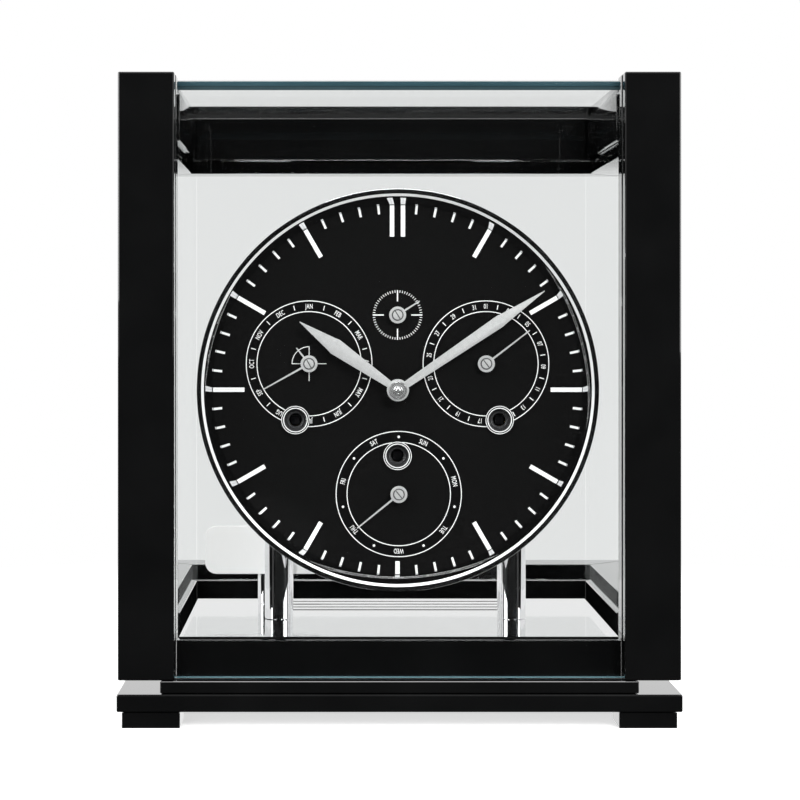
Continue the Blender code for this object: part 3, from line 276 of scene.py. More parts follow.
# A finish gives its two colours, its roughness from low to high and the size of its grain.
# The other values are polished metal's, unless the finish has its own
polishedMetal = {"stretch": (1, 1, 1), "depth": 0, "metallic": 1.0, "specular": 0.5}
metalLooks = {
    "polishedChrome": {"dark": (0.84, 0.84, 0.85), "light": (0.90, 0.90, 0.91),
                       "roughness": (0.02, 0.05), "grain": 60},
    "polishedFlange": {"dark": (0.66, 0.66, 0.67), "light": (0.71, 0.71, 0.72),
                       "roughness": (0.03, 0.05), "grain": 90},
    "satinSilver": {"dark": grey(0.59), "light": grey(0.67), "roughness": (0.40, 0.50),
                    "grain": 700, "depth": 0.000006, "metallic": 0.4},
    "hubSilver": {"dark": grey(0.72), "light": grey(0.76), "roughness": (0.28, 0.34),
                  "grain": 300, "metallic": 0.45},
    # near-white satin, a painted highlight on the bezel's inner slope and on the grommet beads
    "paintedHighlightSilver": {"dark": grey(0.93), "light": grey(0.96), "roughness": (0.14, 0.18),
                    "grain": 200, "metallic": 0.12},
    # very dark steel, painted shade inside the winding holes
    "paintedShadeWellSteel": {"dark": (0.12, 0.12, 0.125), "light": (0.17, 0.17, 0.175),
                      "roughness": (0.18, 0.24), "grain": 400, "metallic": 0.7},
    "railSatin": {"dark": (0.0030, 0.0031, 0.0032), "light": (0.0042, 0.0043, 0.0044),
                  "roughness": (0.5, 0.6), "grain": 260, "metallic": 0.0, "specular": 0.0},
    "polishedFloorPlate": {"dark": (0.81, 0.81, 0.815), "light": (0.85, 0.85, 0.855),
                           "roughness": (0.04, 0.07), "grain": 160, "stretch": (1, 14, 1)},
    "namePlateSilver": {"dark": grey(0.91), "light": grey(0.94), "roughness": (0.3, 0.4),
                        "grain": 300, "stretch": (1, 1, 14), "metallic": 0.0},
    "brushedSteel": {"dark": (0.52, 0.52, 0.53), "light": (0.62, 0.62, 0.64),
                     "roughness": (0.22, 0.34), "grain": 700, "stretch": (6, 1, 1),
                     "depth": 0.00001},
    "blackenedSteel": {"dark": (0.06, 0.06, 0.065), "light": (0.11, 0.11, 0.12),
                       "roughness": (0.28, 0.42), "grain": 500, "depth": 0.00001},
    "brushedBrass": {"dark": (0.66, 0.47, 0.20), "light": (0.74, 0.54, 0.25),
                     "roughness": (0.2, 0.3), "grain": 500, "stretch": (1, 1, 10),
                     "depth": 0.000002},
    "gildedBrass": {"dark": (0.72, 0.52, 0.23), "light": (0.80, 0.60, 0.29),
                    "roughness": (0.14, 0.22), "grain": 900},
    "printWhite": {"dark": grey(0.86), "light": grey(0.93), "roughness": (0.45, 0.6),
                   "grain": 1500, "metallic": 0.0},
    # dark grey, painted shade in a small hub's groove and screw slot
    "paintedShadeGrey": {"dark": grey(0.10), "light": grey(0.16), "roughness": (0.4, 0.5),
                 "grain": 900, "metallic": 0.0},
    "nutSilver": {"dark": grey(0.82), "light": grey(0.88), "roughness": (0.10, 0.14),
                  "grain": 300, "metallic": 0.8},
    "lineGrey": {"dark": grey(0.56), "light": grey(0.64), "roughness": (0.45, 0.6),
                 "grain": 1500, "metallic": 0.0},
    "trackBlack": {"dark": (0.0026, 0.0026, 0.0027), "light": (0.0038, 0.0038, 0.0040),
                   "roughness": (0.4, 0.5), "grain": 2500, "metallic": 0.0, "specular": 0.15},
    # near black, painted shade in the grommet grooves and on the floor plate's edges and slot walls
    "paintedShadeBlack": {"dark": grey(0.004), "light": grey(0.008), "roughness": (0.08, 0.14),
                  "grain": 400, "metallic": 0.0},
}


def makeMetal(name):
    look = {**polishedMetal, **metalLooks[name]}
    finish, tree, shader = newFinish(name, look["light"], look["metallic"], look["roughness"][0])
    grain = objectNoise(tree, look["grain"], look["stretch"])
    varyColour(tree, shader, grain, look["dark"], look["light"])
    varyRoughness(tree, shader, grain, *look["roughness"])
    shader.inputs["Specular IOR Level"].default_value = look["specular"]
    if look["depth"]:
        addBump(tree, shader, grain, look["depth"])
    return finish


paneLook = {"clearLow": (0.938, 0.943, 0.942), "clearHigh": (0.944, 0.948, 0.947),
            "clearGrain": 9, "mirror": (0.9, 0.93, 0.93), "plainRoughness": 0.01,
            "roughness": (0.005, 0.02), "mirrorGrain": 14, "refraction": 1.5,
            "rimSpan": (0.04, 0.5), "shineSpan": (0.010, 0.05)}


def makePaneGlass():
    # a see-through pane whose shine grows towards its rim, up to a limit
    look = paneLook
    finish, tree, shader = newFinish("clearGlass", look["mirror"], 1, look["plainRoughness"])
    varyRoughness(tree, shader, objectNoise(tree, look["mirrorGrain"]), *look["roughness"])
    clear = tree.nodes.new("ShaderNodeBsdfTransparent")
    tint = colourRamp(tree, objectNoise(tree, look["clearGrain"], detail=1),
                      look["clearLow"], look["clearHigh"])
    tree.links.new(tint, clear.inputs["Color"])
    rim = tree.nodes.new("ShaderNodeFresnel")
    rim.inputs["IOR"].default_value = look["refraction"]
    shine = valueSpan(tree, rim.outputs["Fac"], *look["rimSpan"], *look["shineSpan"])
    mix = tree.nodes.new("ShaderNodeMixShader")
    tree.links.new(shine, mix.inputs["Fac"])
    tree.links.new(clear.outputs["BSDF"], mix.inputs[1])
    tree.links.new(shader.outputs["BSDF"], mix.inputs[2])
    tree.links.new(mix.outputs["Shader"], tree.nodes["Material Output"].inputs["Surface"])
    return finish


# The pale teal is the glass's own tint. The dark colour above the split height and the near-black
# line along it are painted shade on the top pane's edge
glassEdgeLook = {"lower": (0.15, 0.28, 0.32), "pale": (0.036, 0.066, 0.076),
                 "dark": (0.028, 0.066, 0.082), "line": (0.010, 0.022, 0.028),
                 "paleShade": 0.85, "darkShade": 0.8, "paleGrain": 60, "darkGrain": 25,
                 "stretch": (1, 1, 0.2), "roughness": 0.25,
                 "paintedShadeFrom": 0.27386, "splitBlur": 1e-5, "shadeLineHalf": 0.00016}


def shadedEdge(tree, colour, shade, grain):
    noise = objectNoise(tree, grain, glassEdgeLook["stretch"])
    return colourRamp(tree, noise, [shade * value for value in colour], colour)


def makeGlassEdge(name, pale, split=None):
    # ground glass edge in its own teal; where the split is given, the part above it and a thin line
    # along it are painted darker, painted shade
    look = glassEdgeLook
    finish, tree, shader = newFinish(name, pale, 0, look["roughness"])
    colour = shadedEdge(tree, pale, look["paleShade"], look["paleGrain"])
    if split:
        height = objectAxis(tree, "Z")
        top = shadedEdge(tree, look["dark"], look["darkShade"], look["darkGrain"])
        above = valueSpan(tree, height, split - look["splitBlur"], split + look["splitBlur"], 0, 1)
        onShadeLine = calculate(tree, "COMPARE", height, split, look["shadeLineHalf"])
        colour = mixColours(tree, onShadeLine, mixColours(tree, above, colour, top), look["line"])
    tree.links.new(colour, shader.inputs["Base Color"])
    return finish


lacquer = makeLacquer()
glass = makePaneGlass()
glassEdge = makeGlassEdge("groundGlassEdge", glassEdgeLook["lower"])
topGlassEdge = makeGlassEdge("topGlassEdge", glassEdgeLook["pale"], glassEdgeLook["paintedShadeFrom"])
chrome = makeMetal("polishedChrome")
flangeMetal = makeMetal("polishedFlange")
handSilver = makeMetal("satinSilver")
hubSilver = makeMetal("hubSilver")
paintedHighlightSilver = makeMetal("paintedHighlightSilver")
paintedShadeFunnel = makeMetal("paintedShadeWellSteel")
railSatin = makeMetal("railSatin")
floorSteel = makeMetal("polishedFloorPlate")
plateSilver = makeMetal("namePlateSilver")
steel = makeMetal("brushedSteel")
darkSteel = makeMetal("blackenedSteel")
brass = makeMetal("brushedBrass")
wheelBrass = makeMetal("gildedBrass")
printWhite = makeMetal("printWhite")
paintedShadeGrey = makeMetal("paintedShadeGrey")
nutSilver = makeMetal("nutSilver")
lineGrey = makeMetal("lineGrey")
trackBlack = makeMetal("trackBlack")
paintedShadeBlack = makeMetal("paintedShadeBlack")

markerHeight = 0.0005
dialLowest = boxOf["dial_plate"][0]
dialFaceY = dialLowest.y + markerHeight
dialCentre = Vector((middleOf("dial_plate").x, dialFaceY, middleOf("dial_plate").z))
dialTurn = Matrix.Translation(dialCentre) @ Matrix.Rotation(math.radians(90), 4, "X")

dialLook = {"blackLow": grey(0.0050), "blackHigh": grey(0.0078), "white": grey(0.95),
            "plainRoughness": 0.55, "roughness": (0.50, 0.60), "shine": 0.0, "grain": 2600,
            "paintedFrom": 0.1}


def makeDialPaint():
    # one plate in two paints: matt black, and white on the raised hour bars
    look = dialLook
    finish, tree, shader = newFinish("dialPaint", look["blackHigh"], 0, look["plainRoughness"])
    grain = objectNoise(tree, look["grain"])
    black = colourRamp(tree, grain, look["blackLow"], look["blackHigh"])
    whiteFrom = dialFaceY - look["paintedFrom"] * markerHeight
    raised = calculate(tree, "LESS_THAN", objectAxis(tree, "Y"), whiteFrom)
    tree.links.new(mixColours(tree, raised, black, look["white"]), shader.inputs["Base Color"])
    varyRoughness(tree, shader, grain, *look["roughness"])
    shader.inputs["Specular IOR Level"].default_value = look["shine"]
    return finish


dialPaint = makeDialPaint()
print("finishes made")


# Every CAD node that stays gets a finish; the ones that are made finer come later

nodeFinishes = {
    lacquer: ["base_board", "plinth_board", "foot_front_left", "foot_front_right", "foot_rear_left",
              "foot_rear_right", "corner_post_left", "corner_post_right", "front_bottom_rail",
              "rear_top_rail"],
    plateSilver: ["name_plate"],
    dialPaint: ["dial_plate"],
    steel: ["movement_shelf", "chime_rods", "balance_bridge"],
    brass: ["movement_front_plate", "movement_back_plate", "calendar_plate"],
}
for finish, names in nodeFinishes.items():
    for name in names:
        slots = nodes[name].data.materials
        slots.clear()
        slots.append(finish)
print("CAD nodes finished")


# Panes, copied from the CAD so that their ground edges take a finish of their own

panes = {
    "topPane": {"node": "top_glass", "edgeTowards": Vector((0, -1, 0)), "edge": topGlassEdge},
    "leftPane": {"node": "left_glass"},
    "rightPane": {"node": "right_glass"},
    "rearPane": {"node": "rear_glass"},
    "frontPane": {"node": "front_glass", "edgeTowards": Vector((0, 0, -1)), "edge": glassEdge},
}
for name, pane in panes.items():
    shape = copiedShape(pane["node"])
    for face in shape.faces:
        isEdge = "edge" in pane and face.normal.dot(pane["edgeTowards"]) > facingShare
        face.material_index = 1 if isEdge else 0
    addPiece(name, shape, [glass, pane.get("edge", glass)], bodyOf(pane["node"]),
             crispAngle, [pane["node"]])
print("panes made")


# Printing on the dial: everything is a thin layer of paint on the dial's face

printing = {
    "thickness": 0.00004,
    "lineWidth": 0.00036,
    "textHeight": 0.0021,
    "capShare": 0.70,
    "textNarrowing": 0.62,
    "letterSpacing": 1.08,
    "letterOffset": 0.00002,
    "letterSteps": 3,
    "grommetClearRadius": 0.00600,
    "circleSteps": 180,
}


def dialPoint(radius, clockwise, centre=(0, 0)):
    return Vector((centre[0] + radius * math.sin(clockwise),
                   centre[1] + radius * math.cos(clockwise), 0))


def addBar(shape, centre, clockwise, inner, outer, width):
    # a painted bar that points away from a small dial's centre
    middle = dialPoint((inner + outer) / 2, clockwise, centre)
    middle.z = printing["thickness"] / 2
    size = Matrix.Diagonal((width, outer - inner, printing["thickness"], 1))
    turn = Matrix.Rotation(-clockwise, 4, "Z")
    bmesh.ops.create_cube(shape, size=1, matrix=Matrix.Translation(middle) @ turn @ size)


def addRing(shape, centre, radius, width, thickness, start=0.0, sweep=math.tau):
    # a painted ring, or the part of it from start through sweep, clockwise from twelve
    inner, outer = radius - width / 2, radius + width / 2
    outline = [(inner, 0), (outer, 0), (outer, thickness), (inner, thickness)]
    corners = []
    for reach, height in outline:
        point = dialPoint(reach, start, centre)
        point.z = height
        corners.append(shape.verts.new(point))
    whole = math.isclose(sweep, math.tau)
    lines = [shape.edges.new((corners[i], corners[(i + 1) % 4])) for i in range(4)]
    steps = round(printing["circleSteps"] * sweep / math.tau)
    made = bmesh.ops.spin(shape, geom=corners + lines, cent=(*centre, 0), axis=(0, 0, -1),
                          angle=sweep, steps=steps, use_merge=whole)
    if not whole:
        last = [item for item in made["geom_last"] if isinstance(item, bmesh.types.BMVert)]
        bmesh.ops.contextual_create(shape, geom=corners)
        bmesh.ops.contextual_create(shape, geom=last)


def addTrackLine(shape, track, radius, width, thickness):
    # a circle that stops where it would run over the winding grommet
    centre, hole = Vector(track["centre"]), Vector(track["grommet"])
    away = (hole - centre).length
    clear = printing["grommetClearRadius"] + width / 2
    reach = (radius ** 2 + away ** 2 - clear ** 2) / (2 * radius * away)
    if abs(reach) >= 1:
        addRing(shape, track["centre"], radius, width, thickness)
        return
    half = math.acos(reach)
    aim = math.atan2(hole.x - centre.x, hole.y - centre.y)
    addRing(shape, track["centre"], radius, width, thickness, aim + half, math.tau - 2 * half)


def addWord(shape, words, centre, radius, clockwise):
    # a short word whose top points outwards
    curve = bpy.data.curves.new(words, "FONT")
    curve.body = words
    curve.size = printing["textHeight"] / printing["capShare"]
    curve.align_x = "CENTER"
    curve.extrude = printing["thickness"] / 2
    curve.resolution_u = printing["letterSteps"]
    curve.space_character = printing["letterSpacing"]
    curve.offset = printing["letterOffset"]
    carrier = bpy.data.objects.new(words, curve)
    bpy.context.scene.collection.objects.link(carrier)
    bpy.context.view_layer.update()
    placed = carrier.evaluated_get(bpy.context.evaluated_depsgraph_get())
    mesh = bpy.data.meshes.new_from_object(placed)
    bpy.data.objects.remove(carrier)
    bpy.data.curves.remove(curve)
    spot = dialPoint(radius, clockwise, centre)
    spot.z = printing["thickness"] / 2
    drop = Matrix.Translation((0, -printing["textHeight"] / 2, 0))
    narrow = Matrix.Diagonal((printing["textNarrowing"], 1, 1, 1))
    mesh.transform(Matrix.Translation(spot) @ Matrix.Rotation(-clockwise, 4, "Z") @ narrow @ drop)
    shape.from_mesh(mesh)
    bpy.data.meshes.remove(mesh)


def placeOnDial(name, shape, finishes, standsFor=(), body="case",
                smoothAngle=softAngle):
    cleanShape(shape)
    moveShape(shape, dialTurn)
    return addPiece(name, shape, finishes, body, smoothAngle, standsFor)


def offsetFromDial(name):
    spot = middleOf(name) - dialCentre
    return (round(spot.x, 5), round(spot.z, 5))


minuteTicks = {"inner": 0.0774, "outer": 0.0811, "width": 0.00100}
shape = bmesh.new()
for minute in range(60):
    if minute % 5:
        addBar(shape, (0, 0), math.radians(6 * minute), minuteTicks["inner"],
               minuteTicks["outer"], minuteTicks["width"])
placeOnDial("minuteTicks", shape, [printWhite])

monthTrack = {
    "centre": offsetFromDial("month_wheel"),
    "grommet": offsetFromDial("winding_grommet_left"),
    "outer": 0.0276, "inner": 0.0229,
    "names": ["JAN", "FEB", "MAR", "APR", "MAY", "JUN", "JUL", "AUG", "SEP", "OCT", "NOV", "DEC"],
}
dateTrack = {
    "centre": offsetFromDial("date_wheel"),
    "grommet": offsetFromDial("winding_grommet_right"),
    "outer": 0.0276, "inner": 0.0229,
    "days": 31,
    "numberMargin": 0.0006,
}
weekdayTrack = {
    "centre": offsetFromDial("weekday_wheel"),
    "grommet": offsetFromDial("winding_grommet_lower"),
    "outer": 0.0275, "inner": 0.0227,
    "names": ["SUN", "MON", "TUE", "WED", "THU", "FRI", "SAT"],
    "dotRadius": 0.00055,
    "dotSteps": 20,
}
separator = {"length": 0.0021, "width": 0.00036, "margin": 0.0003}


def makeTrack(name, track):
    band = bmesh.new()
    middle = (track["outer"] + track["inner"]) / 2
    addTrackLine(band, track, middle, track["outer"] - track["inner"], printing["thickness"] / 2)
    placeOnDial(name + "Band", band, [trackBlack])
    lines = bmesh.new()
    for radius in (track["outer"], track["inner"]):
        addTrackLine(lines, track, radius, printing["lineWidth"], printing["thickness"])
    return lines, middle


def addSeparator(shape, track, middle, clockwise):
    addBar(shape, track["centre"], clockwise, middle - separator["length"] / 2,
           middle + separator["length"] / 2, separator["width"])


def clearOfGrommet(track, middle, clockwise, margin):
    spot = dialPoint(middle, clockwise, track["centre"])
    hole = Vector((*track["grommet"], 0))
    return (spot - hole).length > printing["grommetClearRadius"] + margin


shape, middle = makeTrack("monthTrack", monthTrack)
words = bmesh.new()
for month, label in enumerate(monthTrack["names"]):
    angle = math.radians(30 * month)
    addWord(words, label, monthTrack["centre"], middle, angle)
    between = angle + math.radians(15)
    if clearOfGrommet(monthTrack, middle, between, separator["margin"]):
        addSeparator(shape, monthTrack, middle, between)
placeOnDial("monthTrackLines", shape, [printWhite])
placeOnDial("monthNames", words, [printWhite])

shape, middle = makeTrack("dateTrack", dateTrack)
words = bmesh.new()
for day in range(1, dateTrack["days"] + 1):
    angle = math.tau * (day - 1) / dateTrack["days"]
    if day % 2:
        if clearOfGrommet(dateTrack, middle, angle, dateTrack["numberMargin"]):
            addWord(words, f"{day:02d}", dateTrack["centre"], middle, angle)
    elif clearOfGrommet(dateTrack, middle, angle, separator["margin"]):
        addSeparator(shape, dateTrack, middle, angle)
placeOnDial("dateTrackLines", shape, [printWhite])
placeOnDial("dateNumbers", words, [printWhite])

shape, middle = makeTrack("weekdayTrack", weekdayTrack)
words = bmesh.new()
for day, label in enumerate(weekdayTrack["names"]):
    angle = math.tau * (day + 0.5) / 7
    addWord(words, label, weekdayTrack["centre"], middle, angle)
    spot = dialPoint(middle, math.tau * day / 7, weekdayTrack["centre"])
    spot.z = printing["thickness"] / 2
    bmesh.ops.create_cone(shape, cap_ends=True, segments=weekdayTrack["dotSteps"],
                          radius1=weekdayTrack["dotRadius"], radius2=weekdayTrack["dotRadius"],
                          depth=printing["thickness"], matrix=Matrix.Translation(spot))
placeOnDial("weekdayTrackLines", shape, [printWhite])
placeOnDial("weekdayNames", words, [printWhite])

secondsTrack = {"centre": offsetFromDial("seconds_wheel"), "inner": 0.0098, "outer": 0.0109,
                "longInner": 0.0060, "width": 0.00027, "longWidth": 0.00052}
shape = bmesh.new()
for second in range(60):
    isLong = second % 15 == 0
    addBar(shape, secondsTrack["centre"], math.radians(6 * second),
           secondsTrack["longInner"] if isLong else secondsTrack["inner"],
           secondsTrack["outer"], secondsTrack["longWidth"] if isLong else secondsTrack["width"])
placeOnDial("secondsTrackLines", shape, [printWhite])

leapSector = {"radius": 0.0075, "inner": 0.0037, "outer": 0.0076, "width": 0.00030}
shape = bmesh.new()
addRing(shape, monthTrack["centre"], leapSector["radius"], leapSector["width"],
        printing["thickness"], math.radians(-90), math.radians(90))
for quarter in range(4):
    addBar(shape, monthTrack["centre"], math.radians(90 * quarter), leapSector["inner"],
           leapSector["outer"], leapSector["width"])
placeOnDial("leapYearSector", shape, [printWhite])
print("dial printed")


# Bezel and flange, turned round the dial

bezel = {"steps": 288, "width": 0.0031, "proud": 0.0004, "slopeWidth": 0.00110,
         "slopeDrop": 0.0010, "rear": -0.003, "backLap": 0.0014, "lapFront": -0.0019,
         "arcSteps": 4, "arcTurn": math.radians(8), "cornerRound": 0.00008}
low, high = boxOf["bezel_ring"]
bezelOuter = (high.x - low.x) / 2 + bezel["proud"]
bezelFront = dialFaceY - low.y
bezelInner = bezelOuter - bezel["width"]
crest = bezelInner + bezel["slopeWidth"]
corner = bezelOuter - bezel["cornerRound"]
arcRadius = (corner - crest) / math.sin(bezel["arcTurn"])
profile = [(bezelInner, bezelFront - bezel["slopeDrop"])]
for step in range(bezel["arcSteps"] + 1):
    turn = bezel["arcTurn"] * step / bezel["arcSteps"]
    profile.append((crest + arcRadius * math.sin(turn),
                    bezelFront - arcRadius * (1 - math.cos(turn))))
profile += [(bezelOuter, profile[-1][1] - bezel["cornerRound"]), (bezelOuter, bezel["rear"]),
            (bezelInner - bezel["backLap"], bezel["rear"]),
            (bezelInner - bezel["backLap"], bezel["lapFront"]), (bezelInner, bezel["lapFront"])]
shape = turnedShape(profile, bezel["steps"])
# the inner slope takes the near-white finish, a painted highlight all round the ring
for face in shape.faces:
    spot = face.calc_center_median()
    onSlope = math.hypot(spot.x, spot.y) < crest and spot.z > bezelFront - bezel["slopeDrop"]
    face.material_index = 1 if onSlope else 0
placeOnDial("bezelRing", shape, [chrome, paintedHighlightSilver], ["bezel_ring"],
            smoothAngle=crispAngle)

flange = {"inner": 0.0812, "outer": 0.0844, "foot": 0.0003, "top": 0.0042, "land": 0.0002,
          "steps": 288}
profile = [(flange["inner"], flange["foot"]), (flange["outer"], flange["foot"]),
           (flange["outer"], flange["top"]), (flange["outer"] - flange["land"], flange["top"])]
placeOnDial("dialFlange", turnedShape(profile, flange["steps"]), [flangeMetal],
            ["dial_flange"])

# A thin grey line along the middle of each raised hour bar, and two at twelve
markerLines = {"inner": 0.0680, "outer": 0.0804, "sixInner": 0.0761, "width": 0.00018,
               "twelveSpread": 0.0024}
shape = bmesh.new()
for hour in range(12):
    for spread in ((-1, 1) if hour == 0 else (0,)):
        bar = bmesh.new()
        addBar(bar, (spread * markerLines["twelveSpread"], 0), 0,
               markerLines["sixInner"] if hour == 6 else markerLines["inner"],
               markerLines["outer"], markerLines["width"])
        joinShapes(shape, bar, Matrix.Rotation(-math.radians(30 * hour), 4, "Z"))
moveShape(shape, Matrix.Translation((0, 0, markerHeight)))
placeOnDial("markerLines", shape, [lineGrey])
print("bezel and flange turned")


# Winding grommets: two beads with a groove between them and a steel funnel inside. The beads are
# near-white, a painted highlight; the groove is painted black and the funnel dark, painted shade

grommet = {"outer": 0.0062, "outerBead": 0.00032, "innerBead": 0.00042, "inner": 0.00540,
           "beadHeight": 0.0013, "grooveHeight": 0.0006, "foot": 0.0003, "tubeRadius": 0.0054,
           "tubeEnd": -0.0035, "funnelRadius": 0.0036, "lipRadius": 0.00285, "lipHeight": 0.0004,
           "steps": 96, "edgeRound": 0.00010, "grooveMargin": 0.0001, "grooveLift": 0.0002,
           "wellMargin": 0.00005}
grooveOuter = grommet["outer"] - grommet["outerBead"]
bore = grommet["inner"] - grommet["innerBead"]
profile = [(grommet["lipRadius"], grommet["tubeEnd"]), (grommet["tubeRadius"], grommet["tubeEnd"]),
           (grommet["tubeRadius"], grommet["foot"]), (grommet["outer"], grommet["foot"]),
           (grommet["outer"], grommet["beadHeight"]),
           (grooveOuter, grommet["beadHeight"]), (grooveOuter, grommet["grooveHeight"]),
           (grommet["inner"], grommet["grooveHeight"]), (grommet["inner"], grommet["beadHeight"]),
           (bore, grommet["beadHeight"]), (bore, grommet["grooveHeight"]),
           (grommet["funnelRadius"], grommet["tubeEnd"] + grommet["lipHeight"]),
           (grommet["lipRadius"], grommet["tubeEnd"] + grommet["lipHeight"])]
for side in ("left", "lower", "right"):
    nodeName = "winding_grommet_" + side
    shape = turnedShape(profile, grommet["steps"])
    softenEdges(shape, grommet["edgeRound"])
    for face in shape.faces:
        spot = face.calc_center_median()
        reach = math.hypot(spot.x, spot.y)
        betweenBeads = (grommet["inner"] - grommet["grooveMargin"] < reach
                        < grooveOuter + grommet["grooveMargin"])
        # the groove is painted black and the funnel dark, painted shade
        if betweenBeads and spot.z < grommet["grooveHeight"] + grommet["grooveLift"]:
            face.material_index = 1
        elif reach < bore + grommet["wellMargin"] and spot.z < grommet["grooveHeight"]:
            face.material_index = 2
    moveShape(shape, Matrix.Translation((*offsetFromDial(nodeName), 0)))
    placeOnDial("windingGrommet" + side.capitalize(), shape, [paintedHighlightSilver, paintedShadeBlack, paintedShadeFunnel],
                [nodeName])
print("grommets turned")


# Columns and the name plate's rod

columnShape = {"steps": 96, "seamHeight": 0.0006, "seamDepth": 0.00012, "edge": 0.0003,
               "floorGap": 0.0003, "studShare": 0.46, "studHeight": 0.004}


def makeColumn(name, nodeName, hasTopStud):
    # a rod with a thin stud below, a dark seam at its foot and, where it carries the shelf, a
    # second stud on top
    low, high = boxOf[nodeName]
    radius = (high.x - low.x) / 2
    stud = columnShape["studShare"] * radius
    neck = radius - columnShape["seamDepth"]
    foot = boxOf["floor_plate"][1].z + columnShape["floorGap"]
    seam = foot + columnShape["seamHeight"]
    top = high.z - (columnShape["studHeight"] if hasTopStud else 0)
    profile = [(0, low.z), (stud, low.z), (stud, foot), (neck, foot), (neck, seam), (radius, seam),
               (radius, top - columnShape["edge"]), (radius - columnShape["edge"], top)]
    if hasTopStud:
        profile += [(stud, top), (stud, high.z)]
    profile.append((0, profile[-1][1]))
    shape = turnedShape(profile, columnShape["steps"])
    centre = middleOf(nodeName)
    moveShape(shape, Matrix.Translation((centre.x, centre.y, 0)))
    addPiece(name, shape, [chrome], "case", softAngle, [nodeName])


makeColumn("columnLeft", "support_column_left", True)
makeColumn("columnRight", "support_column_right", True)
makeColumn("namePlateRod", "name_plate_rod", False)
print("columns turned")


# Hands: the large ones are copies with softened edges, the small ones get turned hubs and screws

largeHands = {"edgeRound": 0.00012, "roundFrom": math.radians(50)}
for name, nodeName in {"hourHand": "hour_hand", "minuteHand": "minute_hand"}.items():
    shape = copiedShape(nodeName)
    softenEdges(shape, largeHands["edgeRound"], limit=largeHands["roundFrom"])
    addPiece(name, shape, [handSilver], bodyOf(nodeName), softAngle, [nodeName])

nutLook = {"seat": 0.0092, "bore": 0.0019, "boreDepth": 0.0014, "collar": 0.0039,
           "collarTop": 0.0011, "collarRound": 0.0004, "shoulder": 0.6, "groove": 0.0028,
           "grooveSlope": 0.0003, "dome": 0.00205, "domeFoot": 0.7, "crown": 0.0031,
           "steps": 72, "domeSteps": 10}
seat = nutLook["seat"]
shoulder = seat + nutLook["collarTop"] * nutLook["shoulder"]
domeFoot = nutLook["collarTop"] * nutLook["domeFoot"]
profile = [(0, seat + nutLook["boreDepth"]), (nutLook["bore"], seat + nutLook["boreDepth"]),
           (nutLook["bore"], seat), (nutLook["collar"], seat), (nutLook["collar"], shoulder),
           (nutLook["collar"] - nutLook["collarRound"], seat + nutLook["collarTop"]),
           (nutLook["groove"], seat + nutLook["collarTop"]),
           (nutLook["groove"] - nutLook["grooveSlope"], shoulder),
           (nutLook["dome"], seat + domeFoot)]
for step in range(1, nutLook["domeSteps"] + 1):
    turn = math.radians(90) * step / nutLook["domeSteps"]
    profile.append((nutLook["dome"] * math.cos(turn),
                    seat + domeFoot + (nutLook["crown"] - domeFoot) * math.sin(turn)))
profile[-1] = (0, profile[-1][1])
shape = turnedShape(profile, nutLook["steps"])
placeOnDial("handNut", shape, [nutSilver], ["hand_nut"], bodyOf("hand_nut"))

smallHub = {"radius": 0.0037, "rimWidth": 0.0011, "base": 0.0024, "rimTop": 0.0032,
            "grooveTop": 0.0028, "boreRadius": 0.0016, "boreDepth": 0.0001,
            "screwRadius": 0.0020, "screwTop": 0.0042, "screwSteps": 48, "slotFloor": 0.0037,
            "slotWidth": 0.0005, "overlap": 0.0001, "bladeStart": 0.8, "rootHalf": 0.00042,
            "tipHalf": 0.00026, "bladeThickness": 0.0004, "tipMargin": 0.0001,
            "grooveMargin": 0.00001, "edgeRound": 0.0001, "steps": 64}


def handLie(nodeName, centre):
    # the direction and reach of a hand's tip, measured on its CAD node
    offsets = [Vector((vertex.co.x - dialCentre.x - centre[0],
                       vertex.co.z - dialCentre.z - centre[1]))
               for vertex in nodes[nodeName].data.vertices]
    reach = max(offset.length for offset in offsets)
    tips = [offset for offset in offsets if offset.length > reach - smallHub["tipMargin"]]
    tip = sum(tips, Vector((0, 0))) / len(tips)
    return math.atan2(tip.x, tip.y), tip.length


def addBlade(shape, start, end, level):
    middle = Vector((0, (start + end) / 2, level + smallHub["bladeThickness"] / 2))
    size = Matrix.Diagonal((2 * smallHub["rootHalf"], end - start, smallHub["bladeThickness"], 1))
    made = bmesh.ops.create_cube(shape, size=1, matrix=Matrix.Translation(middle) @ size)
    tip = [vertex for vertex in made["verts"] if vertex.co.y > middle.y]
    ratio = smallHub["tipHalf"] / smallHub["rootHalf"]
    bmesh.ops.scale(shape, vec=(ratio, 1, 1), verts=tip)


def addScrewHalves(shape, radius, low, high, slotWidth):
    # two half discs with the slot between them
    for side in (-1, 1):
        half = bmesh.new()
        bmesh.ops.create_cone(half, cap_ends=True, segments=smallHub["screwSteps"],
                              radius1=radius, radius2=radius, depth=high - low,
                              matrix=Matrix.Translation((0, 0, (low + high) / 2)))
        cut = bmesh.ops.bisect_plane(half, geom=half.verts[:] + half.edges[:] + half.faces[:],
                                     plane_co=(0, side * slotWidth / 2, 0), plane_no=(0, -side, 0),
                                     clear_outer=True)
        rim = [item for item in cut["geom_cut"] if isinstance(item, bmesh.types.BMEdge)]
        bmesh.ops.contextual_create(half, geom=rim)
        cleanShape(half)
        softenEdges(half, smallHub["edgeRound"])
        joinShapes(shape, half)


